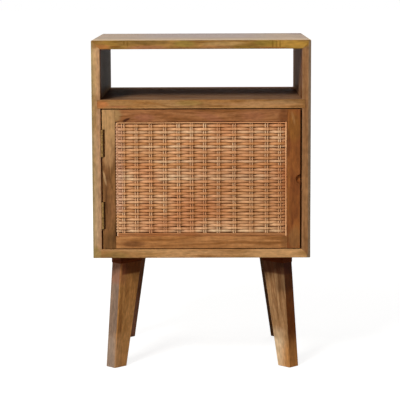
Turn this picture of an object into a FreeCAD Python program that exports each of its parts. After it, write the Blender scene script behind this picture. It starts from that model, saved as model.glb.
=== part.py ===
import FreeCAD, Part
import os
import re

import Sketcher
from FreeCAD import Placement, Rotation, Vector

# A free-standing wooden side table. A mitred box of four boards stands on four splayed legs. An open
# niche runs through the top of the box, and a framed door with a woven cane panel closes the cupboard
# below it. The door hangs on two butt hinges at its left edge.
#
# Millimetres. +X is to the right of somebody facing the door, +Y runs from front to back and +Z is up.
# The origin is on the floor, in the middle of the overall width and depth, hinge knuckles included.

# ---- driving sizes: name, value, what it is ---------------------------------------------------------
SIZES = (
    ("carcass_width", 400, "box, outside left to right"),
    ("carcass_depth", 350, "box, front face to back face"),
    ("carcass_height", 400, "box, underside to top face"),
    ("board_thick", 16, "every board of the box"),
    ("niche_height", 92, "clear height of the open niche"),
    ("leg_height", 212, "floor to the underside of the box"),
    ("edge_ease", 0.8, "chamfer on the arrises"),
    ("housing_depth", 6, "shelf ends let into the sides"),
    ("spline_thick", 3, "loose tongue in each mitre"),
    ("spline_width", 12, "loose tongue, across the mitre"),
    ("spline_stop", 18, "from the front and back faces to the ends of a tongue"),
    ("spline_shift", 1, "tongue set towards the inner corner"),
    ("joint_clearance", 0.1, "glue line round tongues, tenons and housings"),
    ("back_thick", 5, "back panel of the cupboard"),
    ("back_rebate", 6, "width of the rebate that the back panel lies in"),
    ("leg_inset", 40, "outer face of a front leg at its top, in from each face of the box"),
    ("rear_leg_inset", 44.5, "outer face of a rear leg at its top, in from each face of the box"),
    ("leg_top_width", 53.5, "leg and its block, outer face to heel, at the top"),
    ("leg_foot_width", 30.5, "leg, outer face to heel, at the floor"),
    ("leg_thick", 25, "leg across its outer face"),
    ("leg_lean", 17.5, "outer face leans out by this much from top to floor"),
    ("leg_ease", 1.5, "chamfer on the long edges of a leg"),
    ("block_thick", 16, "mounting block between leg and box"),
    ("bolt_radius", 4, "hanger bolt of a leg"),
    ("bolt_in_leg", 36, "bolt below the top of the leg"),
    ("insert_radius", 6, "threaded insert in the bottom board"),
    ("insert_length", 12, "threaded insert, from the underside up"),
    ("dowel_radius", 3, "dowel that stops a leg turning"),
    ("dowel_reach", 10, "dowel beyond the block, up and down"),
    ("dowel_from_heel", 12, "dowel centre to the heel of the leg top"),
    ("bore_clearance", 0.05, "round a bolt, dowel, screw or pin in its hole"),
    ("hinge_gap", 2.5, "side board to hinge edge of the door"),
    ("latch_gap", 2.8, "free edge of the door to side board"),
    ("head_gap", 1.9, "door to shelf"),
    ("sill_gap", 1.6, "door to bottom board"),
    ("door_thick", 20, "stiles and rails, front to back"),
    ("stile_width", 24, "upright members of the door"),
    ("rail_width", 22.6, "cross members of the door"),
    ("lip_depth", 9, "front lip of the frame, before the rebate"),
    ("rebate_width", 6, "rebate behind the lip"),
    ("tenon_length", 14, "rail tenon in the stile"),
    ("tenon_thick", 6, "rail tenon, front to back"),
    ("tenon_shoulder", 3, "front face of the rail to its tenon, and above and below it"),
    ("notch_radius", 9, "scooped finger notch in the free edge"),
    ("notch_depth", 7, "notch into the face of the stile"),
    ("backing_thick", 4, "board behind the woven panel"),
    ("panel_clearance", 0.4, "round the backing board and the beads in the rebate"),
    ("bead_thick", 6, "beads that hold the panel, front to back"),
    ("stake_radius", 1.7, "upright canes of the weave"),
    ("stake_step", 4.2, "centre to centre in a pair of upright canes"),
    ("weaver_thick", 1.6, "cross canes, front to back"),
    ("weaver_height", 4.6, "cross canes, up and down"),
    ("row_pitch", 5.37, "row to row of the weave"),
    ("first_row", 7.2, "bottom of the window to the lowest cross cane"),
    ("top_row_height", 6.2, "cross cane at the top, up and down"),
    ("crest_margin", 0.6, "flat of a cross cane beyond the pair it passes over"),
    ("crest_lift", 0.6, "cross cane off the pair at the middle of its crest"),
    ("selvedge", 14, "side of the weave to the first pair"),
    ("rim_radius", 1.8, "border canes at the sides"),
    ("rail_cane_radius", 1.3, "border canes at the top and bottom"),
    ("weave_clearance", 0.4, "window edge to border cane"),
    ("hinge_length", 50, "butt hinge, top to bottom"),
    ("hinge_inset", 36.6, "end of the door to the near end of a hinge"),
    ("pin_proud", 0.8, "hinge pin axis in front of the box"),
    ("pin_radius", 1, "hinge pin"),
    ("leaf_thick", 1.1, "hinge leaf"),
    ("leaf_width", 17, "hinge leaf, pin axis to back edge"),
    ("knuckle_gap", 0.3, "between neighbouring knuckles"),
    ("knuckle_relief", 0.4, "round the knuckles in the door"),
    ("knuckle_slot_width", 3, "slot in the door beyond the knuckles, left to right"),
    ("knuckle_slot_depth", 3, "slot in the door, from its front face"),
    ("hinge_screw_radius", 1.3, "shank of a hinge screw"),
    ("hinge_screw_length", 12, "hinge screw, head included"),
    ("hinge_screw_edge", 6, "hinge screw to the back edge of its leaf"),
    ("hinge_screw_end", 8, "hinge screw to the end of its leaf"),
    ("small_screw_radius", 1.1, "shank of a screw in the back panel, the catch and the steel plate"),
    ("small_screw_sink", 1.1, "depth of its countersunk head"),
    ("small_screw_length", 14, "small screw, head included"),
    ("panel_screw_end", 34, "corner of the back panel to the nearest screw"),
    ("catch_inset", 46, "free edge of the door to the middle of the catch"),
    ("catch_length", 40, "magnetic catch over its ears"),
    ("catch_case_length", 22, "magnetic catch, case alone"),
    ("catch_case_depth", 14, "magnetic catch, front to back"),
    ("catch_case_height", 11, "magnetic catch, up and down"),
    ("catch_ear_thick", 3, "screw ears of the catch"),
    ("magnet_length", 16, "magnet and its pole plates, left to right"),
    ("magnet_height", 5, "magnet between its pole plates"),
    ("pole_thick", 1.2, "pole plate"),
    ("pole_proud", 1, "pole plates in front of the case"),
    ("strike_length", 36, "steel plate on the door"),
    ("strike_height", 12, "steel plate on the door"),
    ("strike_thick", 1.1, "steel plate on the door"),
    ("strike_drop", 2, "top of the door to the steel plate"),
    ("catch_gap", 0.3, "pole plates to steel plate with the door shut"),
)

# Lengths that follow from the driving sizes. They aren't cells, because nobody sets them.
DERIVED = {
    "knuckle_radius": "hinge_gap / 2 + leaf_thick",
    "knuckle_reach": "pin_proud + knuckle_radius",
    "half_width": "carcass_width / 2",
    "inner_half": "half_width - board_thick",
    "front": "(knuckle_reach - carcass_depth) / 2",
    "back": "front + carcass_depth",
    "underside": "leg_height",
    "top": "underside + carcass_height",
    "cupboard_floor": "underside + board_thick",
    "niche_ceiling": "top - board_thick",
    "niche_floor": "niche_ceiling - niche_height",
    "shelf_underside": "niche_floor - board_thick",
    "ease_half": "edge_ease / 2",
    "panel_half": "inner_half + back_rebate - panel_clearance",
    "panel_low": "cupboard_floor - back_rebate + panel_clearance",
    "panel_high": "shelf_underside + back_rebate - panel_clearance",
    "leg_length": "underside - block_thick",
    "bolt_shift": "leg_top_width / 2 / sqrt(2)",
    "dowel_shift": "(leg_top_width - dowel_from_heel) / sqrt(2)",
    "door_left": "hinge_gap - inner_half",
    "door_right": "inner_half - latch_gap",
    "door_low": "cupboard_floor + sill_gap",
    "door_high": "shelf_underside - head_gap",
    "door_back": "front + door_thick",
    "door_middle": "(door_low + door_high) / 2",
    "lip_back": "front + lip_depth",
    "window_left": "door_left + stile_width",
    "window_right": "door_right - stile_width",
    "window_low": "door_low + rail_width",
    "window_high": "door_high - rail_width",
    "backing_back": "lip_back + backing_thick",
    "bead_width": "rebate_width - panel_clearance",
    "axis_x": "knuckle_radius - inner_half",
    "axis_y": "front - pin_proud",
    "hinge_screw_head": "hinge_screw_radius + leaf_thick",
    "leaf_clear": "knuckle_radius + knuckle_relief",
    "hinge_low": "door_low + hinge_inset",
    "hinge_high": "door_high - hinge_inset - hinge_length",
    "small_screw_head": "small_screw_radius + small_screw_sink",
    "catch_x": "door_right - catch_inset",
    "pole_front": "door_back + strike_thick + catch_gap",
    "case_front": "pole_front + pole_proud",
    "magnet_middle": "shelf_underside - catch_ear_thick - (catch_case_height - catch_ear_thick) / 2",
    "strike_high": "door_high - strike_drop",
    "strike_middle": "strike_high - strike_height / 2",
}

# Spacing of the pairs of upright canes from left to right, as the weaver set them, fitted to the panel.
PAIR_SPACING = (24, 26, 26, 25, 24, 24, 25, 29, 31, 28, 24)
KNUCKLES = 5

# Round pieces that are a few millimetres across are prisms with this many sides, so that they stay light.
ROUND_SIDES = 12
SCREW_SIDES = 8
CANE_SIDES = 8

NAMES = {name for name, _, _ in SIZES}

doc = FreeCAD.newDocument("side_table")
sheet = doc.addObject("Spreadsheet::Sheet", "Sizes")
for row, (name, size, note) in enumerate(SIZES, start=1):
    sheet.set(f"A{row}", name)
    sheet.set(f"B{row}", str(size))
    sheet.set(f"C{row}", note)
    sheet.setAlias(f"B{row}", name)
doc.recompute()

pieces = []


# ---- formulas ---------------------------------------------------------------------------------------
def expand(formula):
    """Write a formula out in full, with each derived length opened up and each cell named."""

    def swap(word):
        if word[0] in DERIVED:
            return f"({expand(DERIVED[word[0]])})"
        return f"Sizes.{word[0]}" if word[0] in NAMES else word[0]

    return re.sub(r"[a-z][a-z_]+", swap, formula)


def value(formula):
    """The number that a formula has now."""
    return float(sheet.evalExpression(expand(formula)))


def bind(item, **formulas):
    """Tie properties of an object to the sheet."""
    for prop, formula in formulas.items():
        item.setExpression(prop, expand(formula))


def place(item, x, y, z):
    """Tie an object's place to the sheet."""
    for axis, formula in zip("xyz", (x, y, z)):
        item.setExpression(f"Placement.Base.{axis}", expand(formula))


# ---- forms that repeat ------------------------------------------------------------------------------
# Two places this close are one place.
SAME_PLACE = 1e-4
MITRE_ANGLE = 45

ALONG = {
    "+x": Rotation(Vector(0, 1, 0), 90),
    "-x": Rotation(Vector(0, 1, 0), -90),
    "+y": Rotation(Vector(1, 0, 0), -90),
    "-y": Rotation(Vector(1, 0, 0), 90),
    "+z": Rotation(),
    "-z": Rotation(Vector(1, 0, 0), 180),
}


def box(x, y, z, length, width, height):
    """A block with its low corner at x, y, z."""
    item = doc.addObject("Part::Box", "block")
    bind(item, Length=length, Width=width, Height=height)
    place(item, x, y, z)
    return item


def span(low, high):
    """A block between two corners."""
    sizes = [f"({b}) - ({a})" for a, b in zip(low, high)]
    return box(*low, *sizes)


def rod(x, y, z, radius, length, along="+z", sides=ROUND_SIDES):
    """A round bar that starts at x, y, z."""
    item = doc.addObject("Part::Prism", "round")
    item.Polygon = sides
    item.Placement = Placement(Vector(), ALONG[along])
    bind(item, Circumradius=radius, Height=length)
    place(item, x, y, z)
    return item


def screw(x, y, z, along, shank, head, sink, length, room="0"):
    """A countersunk screw with the face of its head at x, y, z. With some room it is the screw's hole."""
    rims = []
    for level, radius in (("0", head), (sink, shank)):
        rim = doc.addObject("Part::RegularPolygon", "rim")
        rim.Polygon = SCREW_SIDES
        bind(rim, Circumradius=f"{radius} + {room}")
        place(rim, "0", "0", level)
        rims.append(rim)
    cone = doc.addObject("Part::Loft", "head")
    cone.Sections = rims
    cone.Solid = True
    cone.Ruled = True
    cone.Linearize = True
    shank_length = f"{length} - ({sink}) + {room}"
    item = join([cone, rod("0", "0", sink, f"{shank} + {room}", shank_length, sides=SCREW_SIDES)])
    item.Placement = Placement(Vector(), ALONG[along])
    place(item, x, y, z)
    return item


def small_screw(x, y, z, along, room="0"):
    return screw(x, y, z, along, "small_screw_radius", "small_screw_head", "small_screw_sink",
                 "small_screw_length", room)


def join(items):
    """Several overlapping forms as one."""
    if len(items) == 1:
        return items[0]
    item = doc.addObject("Part::MultiFuse", "joined")
    item.Shapes = items
    return item


def cut(base, tools):
    """A form with others taken out of it."""
    item = doc.addObject("Part::Cut", "cut")
    item.Base = base
    item.Tool = join(tools)
    return item


def group(items):
    """Separate solids that share a node."""
    item = doc.addObject("Part::Compound", "group")
    item.Links = items
    return item


def keep(label, item):
    """Name a finished piece and list it for export."""
    item.Label = label
    pieces.append(item)
    return item


def outline(body, role, points, offset="0"):
    """A closed straight-sided sketch on one of the body's own planes, every corner tied to the sheet."""
    sketch = body.newObject("Sketcher::SketchObject", "outline")
    plane = next(item for item in body.Origin.OriginFeatures if item.Role == role)
    sketch.AttachmentSupport = [(plane, "")]
    sketch.MapMode = "FlatFace"
    sketch.setExpression("AttachmentOffset.Base.z", expand(offset))
    corners = [Vector(value(x), value(y), 0) for x, y in points]
    count = len(corners)
    for index in range(count):
        sketch.addGeometry(Part.LineSegment(corners[index], corners[(index + 1) % count]), False)
    for index in range(count):
        sketch.addConstraint(Sketcher.Constraint("Coincident", index, 2, (index + 1) % count, 1))
    for index, formulas in enumerate(points):
        for kind, formula in zip(("DistanceX", "DistanceY"), formulas):
            number = sketch.addConstraint(Sketcher.Constraint(kind, index, 1, value(formula)))
            sketch.setExpression(f"Constraints[{number}]", expand(formula))
    return sketch


def extrude(body, sketch, length, both_ways=False):
    """Pad a sketch along its normal, or half to each side."""
    pad = body.newObject("PartDesign::Pad", "pad")
    pad.Profile = sketch
    if both_ways:
        pad.SideType = "Symmetric"
    bind(pad, Length=length)
    doc.recompute()
    return pad


def dress(body, kind, base, wanted, size):
    """Chamfer or fillet those edges of a feature that the test wanted accepts."""
    feature = body.newObject(f"PartDesign::{kind}", kind.lower())
    names = [f"Edge{number}" for number, edge in enumerate(base.Shape.Edges, start=1) if wanted(edge)]
    feature.Base = (base, names)
    bind(feature, **{"Size" if kind == "Chamfer" else "Radius": size})
    doc.recompute()
    return feature


def lies_at(edge, axis, place_at):
    """Whether an edge lies in the plane across an axis at a given place."""
    spread = [getattr(vertex.Point, axis) - place_at for vertex in edge.Vertexes]
    return max(abs(gap) for gap in spread) < SAME_PLACE


def runs_along(edge, axis):
    """Whether an edge runs along an axis."""
    step = edge.Vertexes[-1].Point - edge.Vertexes[0].Point
    return all(abs(getattr(step, other)) < SAME_PLACE for other in "xyz" if other != axis)


# ---- the box ----------------------------------------------------------------------------------------
def board(points):
    """A board of the box: its outline as seen from the front, as deep as the box, arrises eased."""
    body = doc.addObject("PartDesign::Body", "board")
    sketch = outline(body, "XZ_Plane", points, offset="-(back)")
    pad = extrude(body, sketch, "carcass_depth")
    faces = (value("front"), value("back"))

    def arris(edge):
        square = runs_along(edge, "x") or runs_along(edge, "z")
        return square and any(lies_at(edge, "y", face) for face in faces)

    dress(body, "Chamfer", pad, arris, "edge_ease")
    return body


def mitred_board(side, outer, inner):
    """The outline of a board that meets its neighbours in mitres, its outer corners eased.

    side is the axis across the board. outer and inner are the four corners as seen from the front.
    """
    (x0, z0), (x1, z1) = outer
    if side == "z":
        ends = ((f"{x0} + edge_ease", z0), (f"{x1} - edge_ease", z1))
    else:
        ends = ((x0, f"{z0} + edge_ease"), (x1, f"{z1} - edge_ease"))
    return [*ends, mitre_point(x1, z1), inner[1], inner[0], mitre_point(x0, z0)]


def mitre_point(x, z):
    """Where a mitre starts, at the middle of the chamfer on an outer corner of the box."""
    toward_x = "+" if x.startswith("-") else "-"
    toward_z = "-" if z == "top" else "+"
    return (f"{x} {toward_x} ease_half", f"{z} {toward_z} ease_half")


CORNERS = (("-1", "top", "-"), ("1", "top", "-"), ("-1", "underside", "+"), ("1", "underside", "+"))


def tongue(sign, edge, inward, room):
    """The loose tongue of one mitre, square across it, or with some room its slot."""
    item = doc.addObject("Part::Box", "tongue")
    slope = 1 if (sign == "-1") == (edge == "top") else -1
    item.Placement = Placement(Vector(), Rotation(Vector(0, 1, 0), -MITRE_ANGLE * slope))
    bind(
        item,
        Length=f"spline_width + 2 * {room}",
        Width=f"carcass_depth - 2 * spline_stop + 2 * {room}",
        Height=f"spline_thick + 2 * {room}",
    )
    half_width = f"((spline_width / 2 + {room}) / sqrt(2))"
    half_thick = f"((spline_thick / 2 + {room}) / sqrt(2))"
    middle_x = f"{sign} * (half_width - board_thick / 2 - spline_shift)"
    middle_z = f"{edge} {inward} (board_thick / 2 + spline_shift)"
    place(
        item,
        f"{middle_x} - {half_width} + {slope} * {half_thick}",
        f"front + spline_stop - {room}",
        f"{middle_z} - {slope} * {half_width} - {half_thick}",
    )
    return item


def tongue_slots(*numbers):
    return [tongue(*CORNERS[number], "joint_clearance") for number in numbers]


def screw_places():
    """The back panel's screws, as seen from behind: three up each side, one in the shelf and the floor."""
    edge_x = "(inner_half + back_rebate / 2)"
    low, high = "(panel_low + panel_screw_end)", "(panel_high - panel_screw_end)"
    sides = [(f"{sign} * {edge_x}", z) for sign in ("-1", "1") for z in (low, f"({low} + {high}) / 2", high)]
    ends = [("0", "shelf_underside + back_rebate / 2"), ("0", "cupboard_floor - back_rebate / 2")]
    return sides + ends


def panel_screw(x, z, room="0"):
    return small_screw(x, "back", z, "-y", room)


def leg_corners():
    """Sign in X, face of the box, sign towards the middle in Y, inset and compass turn of each leg."""
    return {
        "front_left": ("-1", "front", "+", "leg_inset", 225),
        "front_right": ("1", "front", "+", "leg_inset", 315),
        "rear_left": ("-1", "back", "-", "rear_leg_inset", 135),
        "rear_right": ("1", "back", "-", "rear_leg_inset", 45),
    }


def leg_spot(corner, shift="0"):
    """The middle of the outer face of a leg at its top, on plan, moved inwards in X and in Y by a shift."""
    sign, face, inward, inset, _ = leg_corners()[corner]
    return f"{sign} * (half_width - {inset} - {shift})", f"{face} {inward} ({inset} + {shift})"


def build_box():
    rebate_front = "back - back_thick"
    rebate = span(
        ("-inner_half - back_rebate", rebate_front, "cupboard_floor - back_rebate"),
        ("inner_half + back_rebate", "back + board_thick", "shelf_underside + back_rebate"),
    )
    holes = [panel_screw(x, z, "bore_clearance") for x, z in screw_places()]
    left_outer = (("-half_width", "underside"), ("-half_width", "top"))
    left_inner = (("-inner_half", "cupboard_floor"), ("-inner_half", "niche_ceiling"))
    right_outer = (("half_width", "underside"), ("half_width", "top"))
    right_inner = (("inner_half", "cupboard_floor"), ("inner_half", "niche_ceiling"))
    top_outer = (left_outer[1], right_outer[1])
    top_inner = (left_inner[1], right_inner[1])
    base_outer = (left_outer[0], right_outer[0])
    base_inner = (left_inner[0], right_inner[0])
    housing = span(
        ("-inner_half - housing_depth - joint_clearance", "front - board_thick", "shelf_underside"),
        ("inner_half + housing_depth + joint_clearance", "back + board_thick", "niche_floor"),
    )

    keep("top_board", cut(board(mitred_board("z", top_outer, top_inner)), tongue_slots(0, 1)))
    keep(
        "side_left",
        cut(
            board(mitred_board("x", left_outer, left_inner)),
            [housing, rebate, *tongue_slots(0, 2), *holes[:3], *hinge_screw_holes("-x")],
        ),
    )
    keep(
        "side_right",
        cut(
            board(mitred_board("x", right_outer, right_inner)),
            [housing, rebate, *tongue_slots(1, 3), *holes[3:6]],
        ),
    )
    sockets = []
    for corner in leg_corners():
        bolt_x, bolt_y = leg_spot(corner, "bolt_shift")
        dowel_x, dowel_y = leg_spot(corner, "dowel_shift")
        sockets.append(rod(bolt_x, bolt_y, "underside", "insert_radius + bore_clearance",
                           "insert_length + bore_clearance"))
        sockets.append(rod(dowel_x, dowel_y, "underside", "dowel_radius + bore_clearance",
                           "dowel_reach + bore_clearance"))
    keep(
        "bottom_board",
        cut(
            board(mitred_board("z", base_outer, base_inner)),
            [rebate, *tongue_slots(2, 3), holes[7], *sockets],
        ),
    )
    shelf_end = "inner_half + housing_depth"
    shelf = board([
        (f"-({shelf_end})", "shelf_underside"),
        (shelf_end, "shelf_underside"),
        (shelf_end, "niche_floor"),
        (f"-({shelf_end})", "niche_floor"),
    ])
    keep("middle_shelf", cut(shelf, [rebate, holes[6], *catch_screws("bore_clearance")]))
    panel = span(("-panel_half", rebate_front, "panel_low"), ("panel_half", "back", "panel_high"))
    keep("back_panel", cut(panel, holes))
    keep("back_panel_screws", group([panel_screw(x, z) for x, z in screw_places()]))
    keep("mitre_splines", group([tongue(*corner, "0") for corner in CORNERS]))


# ---- legs -------------------------------------------------------------------------------------------
def stand(body, corner):
    """Turn a leg piece to face out of its corner of the box and put it there."""
    body.Placement = Placement(Vector(), Rotation(Vector(0, 0, 1), leg_corners()[corner][-1]))
    place(body, *leg_spot(corner), "0")


def leg_body(points):
    """A flat-sided piece of a leg: its side view, padded to the leg's thickness. X points outwards."""
    body = doc.addObject("PartDesign::Body", "leg")
    pad = extrude(body, outline(body, "XZ_Plane", points), "leg_thick", both_ways=True)
    return body, pad


def build_leg(corner):
    body, pad = leg_body([
        ("leg_lean", "0"),
        ("leg_lean - leg_foot_width", "0"),
        ("-leg_top_width", "leg_length"),
        ("0", "leg_length"),
    ])

    def long_edge(edge):
        return not any(lies_at(edge, "z", level) for level in (0, value("leg_length")))

    def foot_edge(edge):
        return lies_at(edge, "z", 0)

    eased = dress(body, "Chamfer", pad, long_edge, "leg_ease")
    dress(body, "Chamfer", eased, foot_edge, "edge_ease")
    stand(body, corner)
    bolt_x, bolt_y = leg_spot(corner, "bolt_shift")
    dowel_x, dowel_y = leg_spot(corner, "dowel_shift")
    bolt_hole, dowel_hole = "bolt_radius + bore_clearance", "dowel_radius + bore_clearance"
    holes = [
        rod(bolt_x, bolt_y, "leg_length", bolt_hole, "bolt_in_leg + bore_clearance", "-z"),
        rod(dowel_x, dowel_y, "leg_length", dowel_hole, "dowel_reach + bore_clearance", "-z"),
    ]
    keep(f"leg_{corner}", cut(body, holes))

    block, _ = leg_body([
        ("0", "leg_length"),
        ("-leg_top_width", "leg_length"),
        ("-leg_top_width", "underside"),
        ("0", "underside"),
    ])
    stand(block, corner)
    holes = [
        rod(bolt_x, bolt_y, "leg_length", bolt_hole, "block_thick"),
        rod(dowel_x, dowel_y, "leg_length", dowel_hole, "block_thick"),
    ]
    keep(f"leg_block_{corner}", cut(block, holes))


def build_legs():
    for corner in leg_corners():
        build_leg(corner)
    bolts = []
    inserts = []
    dowels = []
    for corner in leg_corners():
        bolt_x, bolt_y = leg_spot(corner, "bolt_shift")
        dowel_x, dowel_y = leg_spot(corner, "dowel_shift")
        bolt_foot = "leg_length - bolt_in_leg"
        bolt_length = f"underside + insert_length - ({bolt_foot})"
        bolts.append(rod(bolt_x, bolt_y, bolt_foot, "bolt_radius", bolt_length))
        sleeve = rod(bolt_x, bolt_y, "underside", "insert_radius", "insert_length")
        thread = rod(bolt_x, bolt_y, "underside", "bolt_radius + bore_clearance", "insert_length")
        inserts.append(cut(sleeve, [thread]))
        dowels.append(
            rod(dowel_x, dowel_y, "leg_length - dowel_reach", "dowel_radius", "block_thick + 2 * dowel_reach")
        )
    keep("leg_bolts", group(bolts))
    keep("leg_inserts", group(inserts))
    keep("leg_dowels", group(dowels))


# ---- hinges -----------------------------------------------------------------------------------------
HINGES = {"lower": "hinge_low", "upper": "hinge_high"}
KNUCKLE_LENGTH = f"(hinge_length - {KNUCKLES - 1} * knuckle_gap) / {KNUCKLES}"

# The flats of the bore, and not its corners, clear the pin.
PIN_BORE = f"(pin_radius + bore_clearance) / cos(180 / {ROUND_SIDES})"


def leaf_x(towards, depth):
    """Distance into the wood from the pin axis, on the side that a leaf faces."""
    return f"axis_x - ({depth})" if towards == "-x" else f"axis_x + ({depth})"


def leaf_block(towards, near, far, low_y, high_y, low_z, high_z):
    """A block on one side of the pin axis, from near to far of it."""
    xs = (leaf_x(towards, far), leaf_x(towards, near))
    first, last = xs if towards == "-x" else xs[::-1]
    return span((first, low_y, low_z), (last, high_y, high_z))


def hinge_screw_places(start):
    y = "axis_y + leaf_width - hinge_screw_edge"
    return [(y, f"{start} + hinge_screw_end"), (y, f"{start} + hinge_length - hinge_screw_end")]


def hinge_screw(towards, y, z, room="0"):
    return screw(leaf_x(towards, "hinge_gap / 2"), y, z, towards, "hinge_screw_radius", "hinge_screw_head",
                 "leaf_thick", "hinge_screw_length", room)


def hinge_screw_holes(towards):
    return [
        hinge_screw(towards, y, z, "bore_clearance")
        for start in HINGES.values()
        for y, z in hinge_screw_places(start)
    ]


def hinge_recesses():
    """What both hinges take out of the door: leaf recess, cove and slot for the knuckles, screw holes.

    The leaves on the side board lie on its face and need no recess.
    """
    tools = hinge_screw_holes("+x")
    for start in HINGES.values():
        low, high = f"{start} - knuckle_relief", f"{start} + hinge_length + knuckle_relief"
        tools += [
            leaf_block("+x", "0", "knuckle_radius", "axis_y", "axis_y + leaf_width", start,
                       f"{start} + hinge_length"),
            rod("axis_x", "axis_y", low, "leaf_clear", "hinge_length + 2 * knuckle_relief"),
            leaf_block("+x", "0", "knuckle_radius + knuckle_slot_width", "axis_y",
                       "front + knuckle_slot_depth", low, high),
        ]
    return tools


def hinge_leaf(start, towards, numbers):
    """A leaf with its own knuckles, bored for the pin and countersunk for its screws."""
    near, far = "hinge_gap / 2", "knuckle_radius"
    plate = leaf_block(towards, near, far, "axis_y + leaf_clear", "axis_y + leaf_width", start,
                       f"{start} + hinge_length")
    solids = [plate]
    for number in numbers:
        low = f"{start} + {number} * ({KNUCKLE_LENGTH} + knuckle_gap)"
        high = f"{low} + {KNUCKLE_LENGTH}"
        solids.append(rod("axis_x", "axis_y", low, "knuckle_radius", KNUCKLE_LENGTH))
        solids.append(leaf_block(towards, near, far, "axis_y", "axis_y + leaf_clear", low, high))
    bore = rod("axis_x", "axis_y", start, PIN_BORE, "hinge_length")
    holes = [hinge_screw(towards, y, z, "bore_clearance") for y, z in hinge_screw_places(start)]
    return cut(join(solids), [bore, *holes])


def build_hinges():
    for name, start in HINGES.items():
        keep(f"hinge_{name}_side_leaf", hinge_leaf(start, "-x", range(0, KNUCKLES, 2)))
        keep(f"hinge_{name}_door_leaf", hinge_leaf(start, "+x", range(1, KNUCKLES, 2)))
        pin = doc.addObject("Part::Cylinder", "pin")
        bind(pin, Radius="pin_radius", Height="hinge_length")
        place(pin, "axis_x", "axis_y", start)
        keep(f"hinge_{name}_pin", pin)
    places = [spot for start in HINGES.values() for spot in hinge_screw_places(start)]
    keep("hinge_side_screws", group([hinge_screw("-x", y, z) for y, z in places]))
    keep("hinge_door_screws", group([hinge_screw("+x", y, z) for y, z in places]))


# ---- magnetic catch ---------------------------------------------------------------------------------
def catch_screws(room="0"):
    """Two screws up through the ears of the catch."""
    spread = "(catch_length + catch_case_length) / 4"
    return [
        small_screw(f"catch_x {sign} {spread}", "case_front + catch_case_depth / 2",
                    "shelf_underside - catch_ear_thick", "+z", room)
        for sign in "-+"
    ]


def strike_screws(room="0"):
    """Two screws through the ends of the steel plate into the top rail."""
    spread = "(strike_length + magnet_length) / 4"
    return [
        small_screw(f"catch_x {sign} {spread}", "door_back + strike_thick", "strike_middle", "-y", room)
        for sign in "-+"
    ]


def build_catch():
    case_back = "case_front + catch_case_depth"
    case_low = "shelf_underside - catch_case_height"
    ear_low = "shelf_underside - catch_ear_thick"
    case = span(
        ("catch_x - catch_case_length / 2", "case_front", case_low),
        ("catch_x + catch_case_length / 2", case_back, "shelf_underside"),
    )
    ears = span(
        ("catch_x - catch_length / 2", "case_front + pole_proud", ear_low),
        ("catch_x + catch_length / 2", case_back, "shelf_underside"),
    )
    magnet_x = ("catch_x - magnet_length / 2", "catch_x + magnet_length / 2")
    magnet_low, magnet_high = "magnet_middle - magnet_height / 2", "magnet_middle + magnet_height / 2"
    pocket_back = "case_front + catch_case_depth - pole_thick"
    pocket = span(
        (magnet_x[0], "pole_front", f"{magnet_low} - pole_thick"),
        (magnet_x[1], pocket_back, f"{magnet_high} + pole_thick"),
    )
    keep("catch_case", cut(join([case, ears]), [pocket, *catch_screws("bore_clearance")]))
    keep(
        "catch_magnet",
        span((magnet_x[0], "case_front", magnet_low), (magnet_x[1], pocket_back, magnet_high)),
    )
    poles = [
        span((magnet_x[0], "pole_front", low), (magnet_x[1], pocket_back, f"{low} + pole_thick"))
        for low in (f"{magnet_low} - pole_thick", magnet_high)
    ]
    keep("catch_pole_plates", group(poles))
    keep("catch_screws", group(catch_screws()))
    plate = span(
        ("catch_x - strike_length / 2", "door_back", "strike_high - strike_height"),
        ("catch_x + strike_length / 2", "door_back + strike_thick", "strike_high"),
    )
    keep("strike_plate", cut(plate, strike_screws("bore_clearance")))
    keep("strike_screws", group(strike_screws()))


# ---- door frame -------------------------------------------------------------------------------------
def frame_member(low, high, along):
    """A stile or rail between two corners as seen from the front, its long front arrises eased."""
    body = doc.addObject("PartDesign::Body", "member")
    (x0, z0), (x1, z1) = low, high
    sketch = outline(body, "XZ_Plane", [(x0, z0), (x1, z0), (x1, z1), (x0, z1)], offset="-(door_back)")
    pad = extrude(body, sketch, "door_thick")

    def arris(edge):
        return lies_at(edge, "y", value("front")) and runs_along(edge, along)

    dress(body, "Chamfer", pad, arris, "edge_ease")
    return body


def tenon(side, rail_low, room="0"):
    """The tenon at one end of a rail, or with some room its mortise in the stile."""
    xs = {
        "left": (f"window_left - tenon_length - {room}", "window_left"),
        "right": ("window_right", f"window_right + tenon_length + {room}"),
    }[side]
    low_y = f"front + tenon_shoulder - {room}"
    low_z = f"{rail_low} + tenon_shoulder + rebate_width * {int(rail_low == 'window_high')} - {room}"
    height = f"rail_width - 2 * tenon_shoulder - rebate_width + 2 * {room}"
    return span(
        (xs[0], low_y, low_z),
        (xs[1], f"{low_y} + tenon_thick + 2 * {room}", f"{low_z} + {height}"),
    )


def finger_notch():
    """A ball that scoops the finger notch out of the front of the free edge."""
    ball = doc.addObject("Part::Sphere", "scoop")
    bind(ball, Radius="notch_radius")
    place(ball, "door_right", "front + notch_depth - notch_radius", "door_middle")
    return ball


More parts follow.
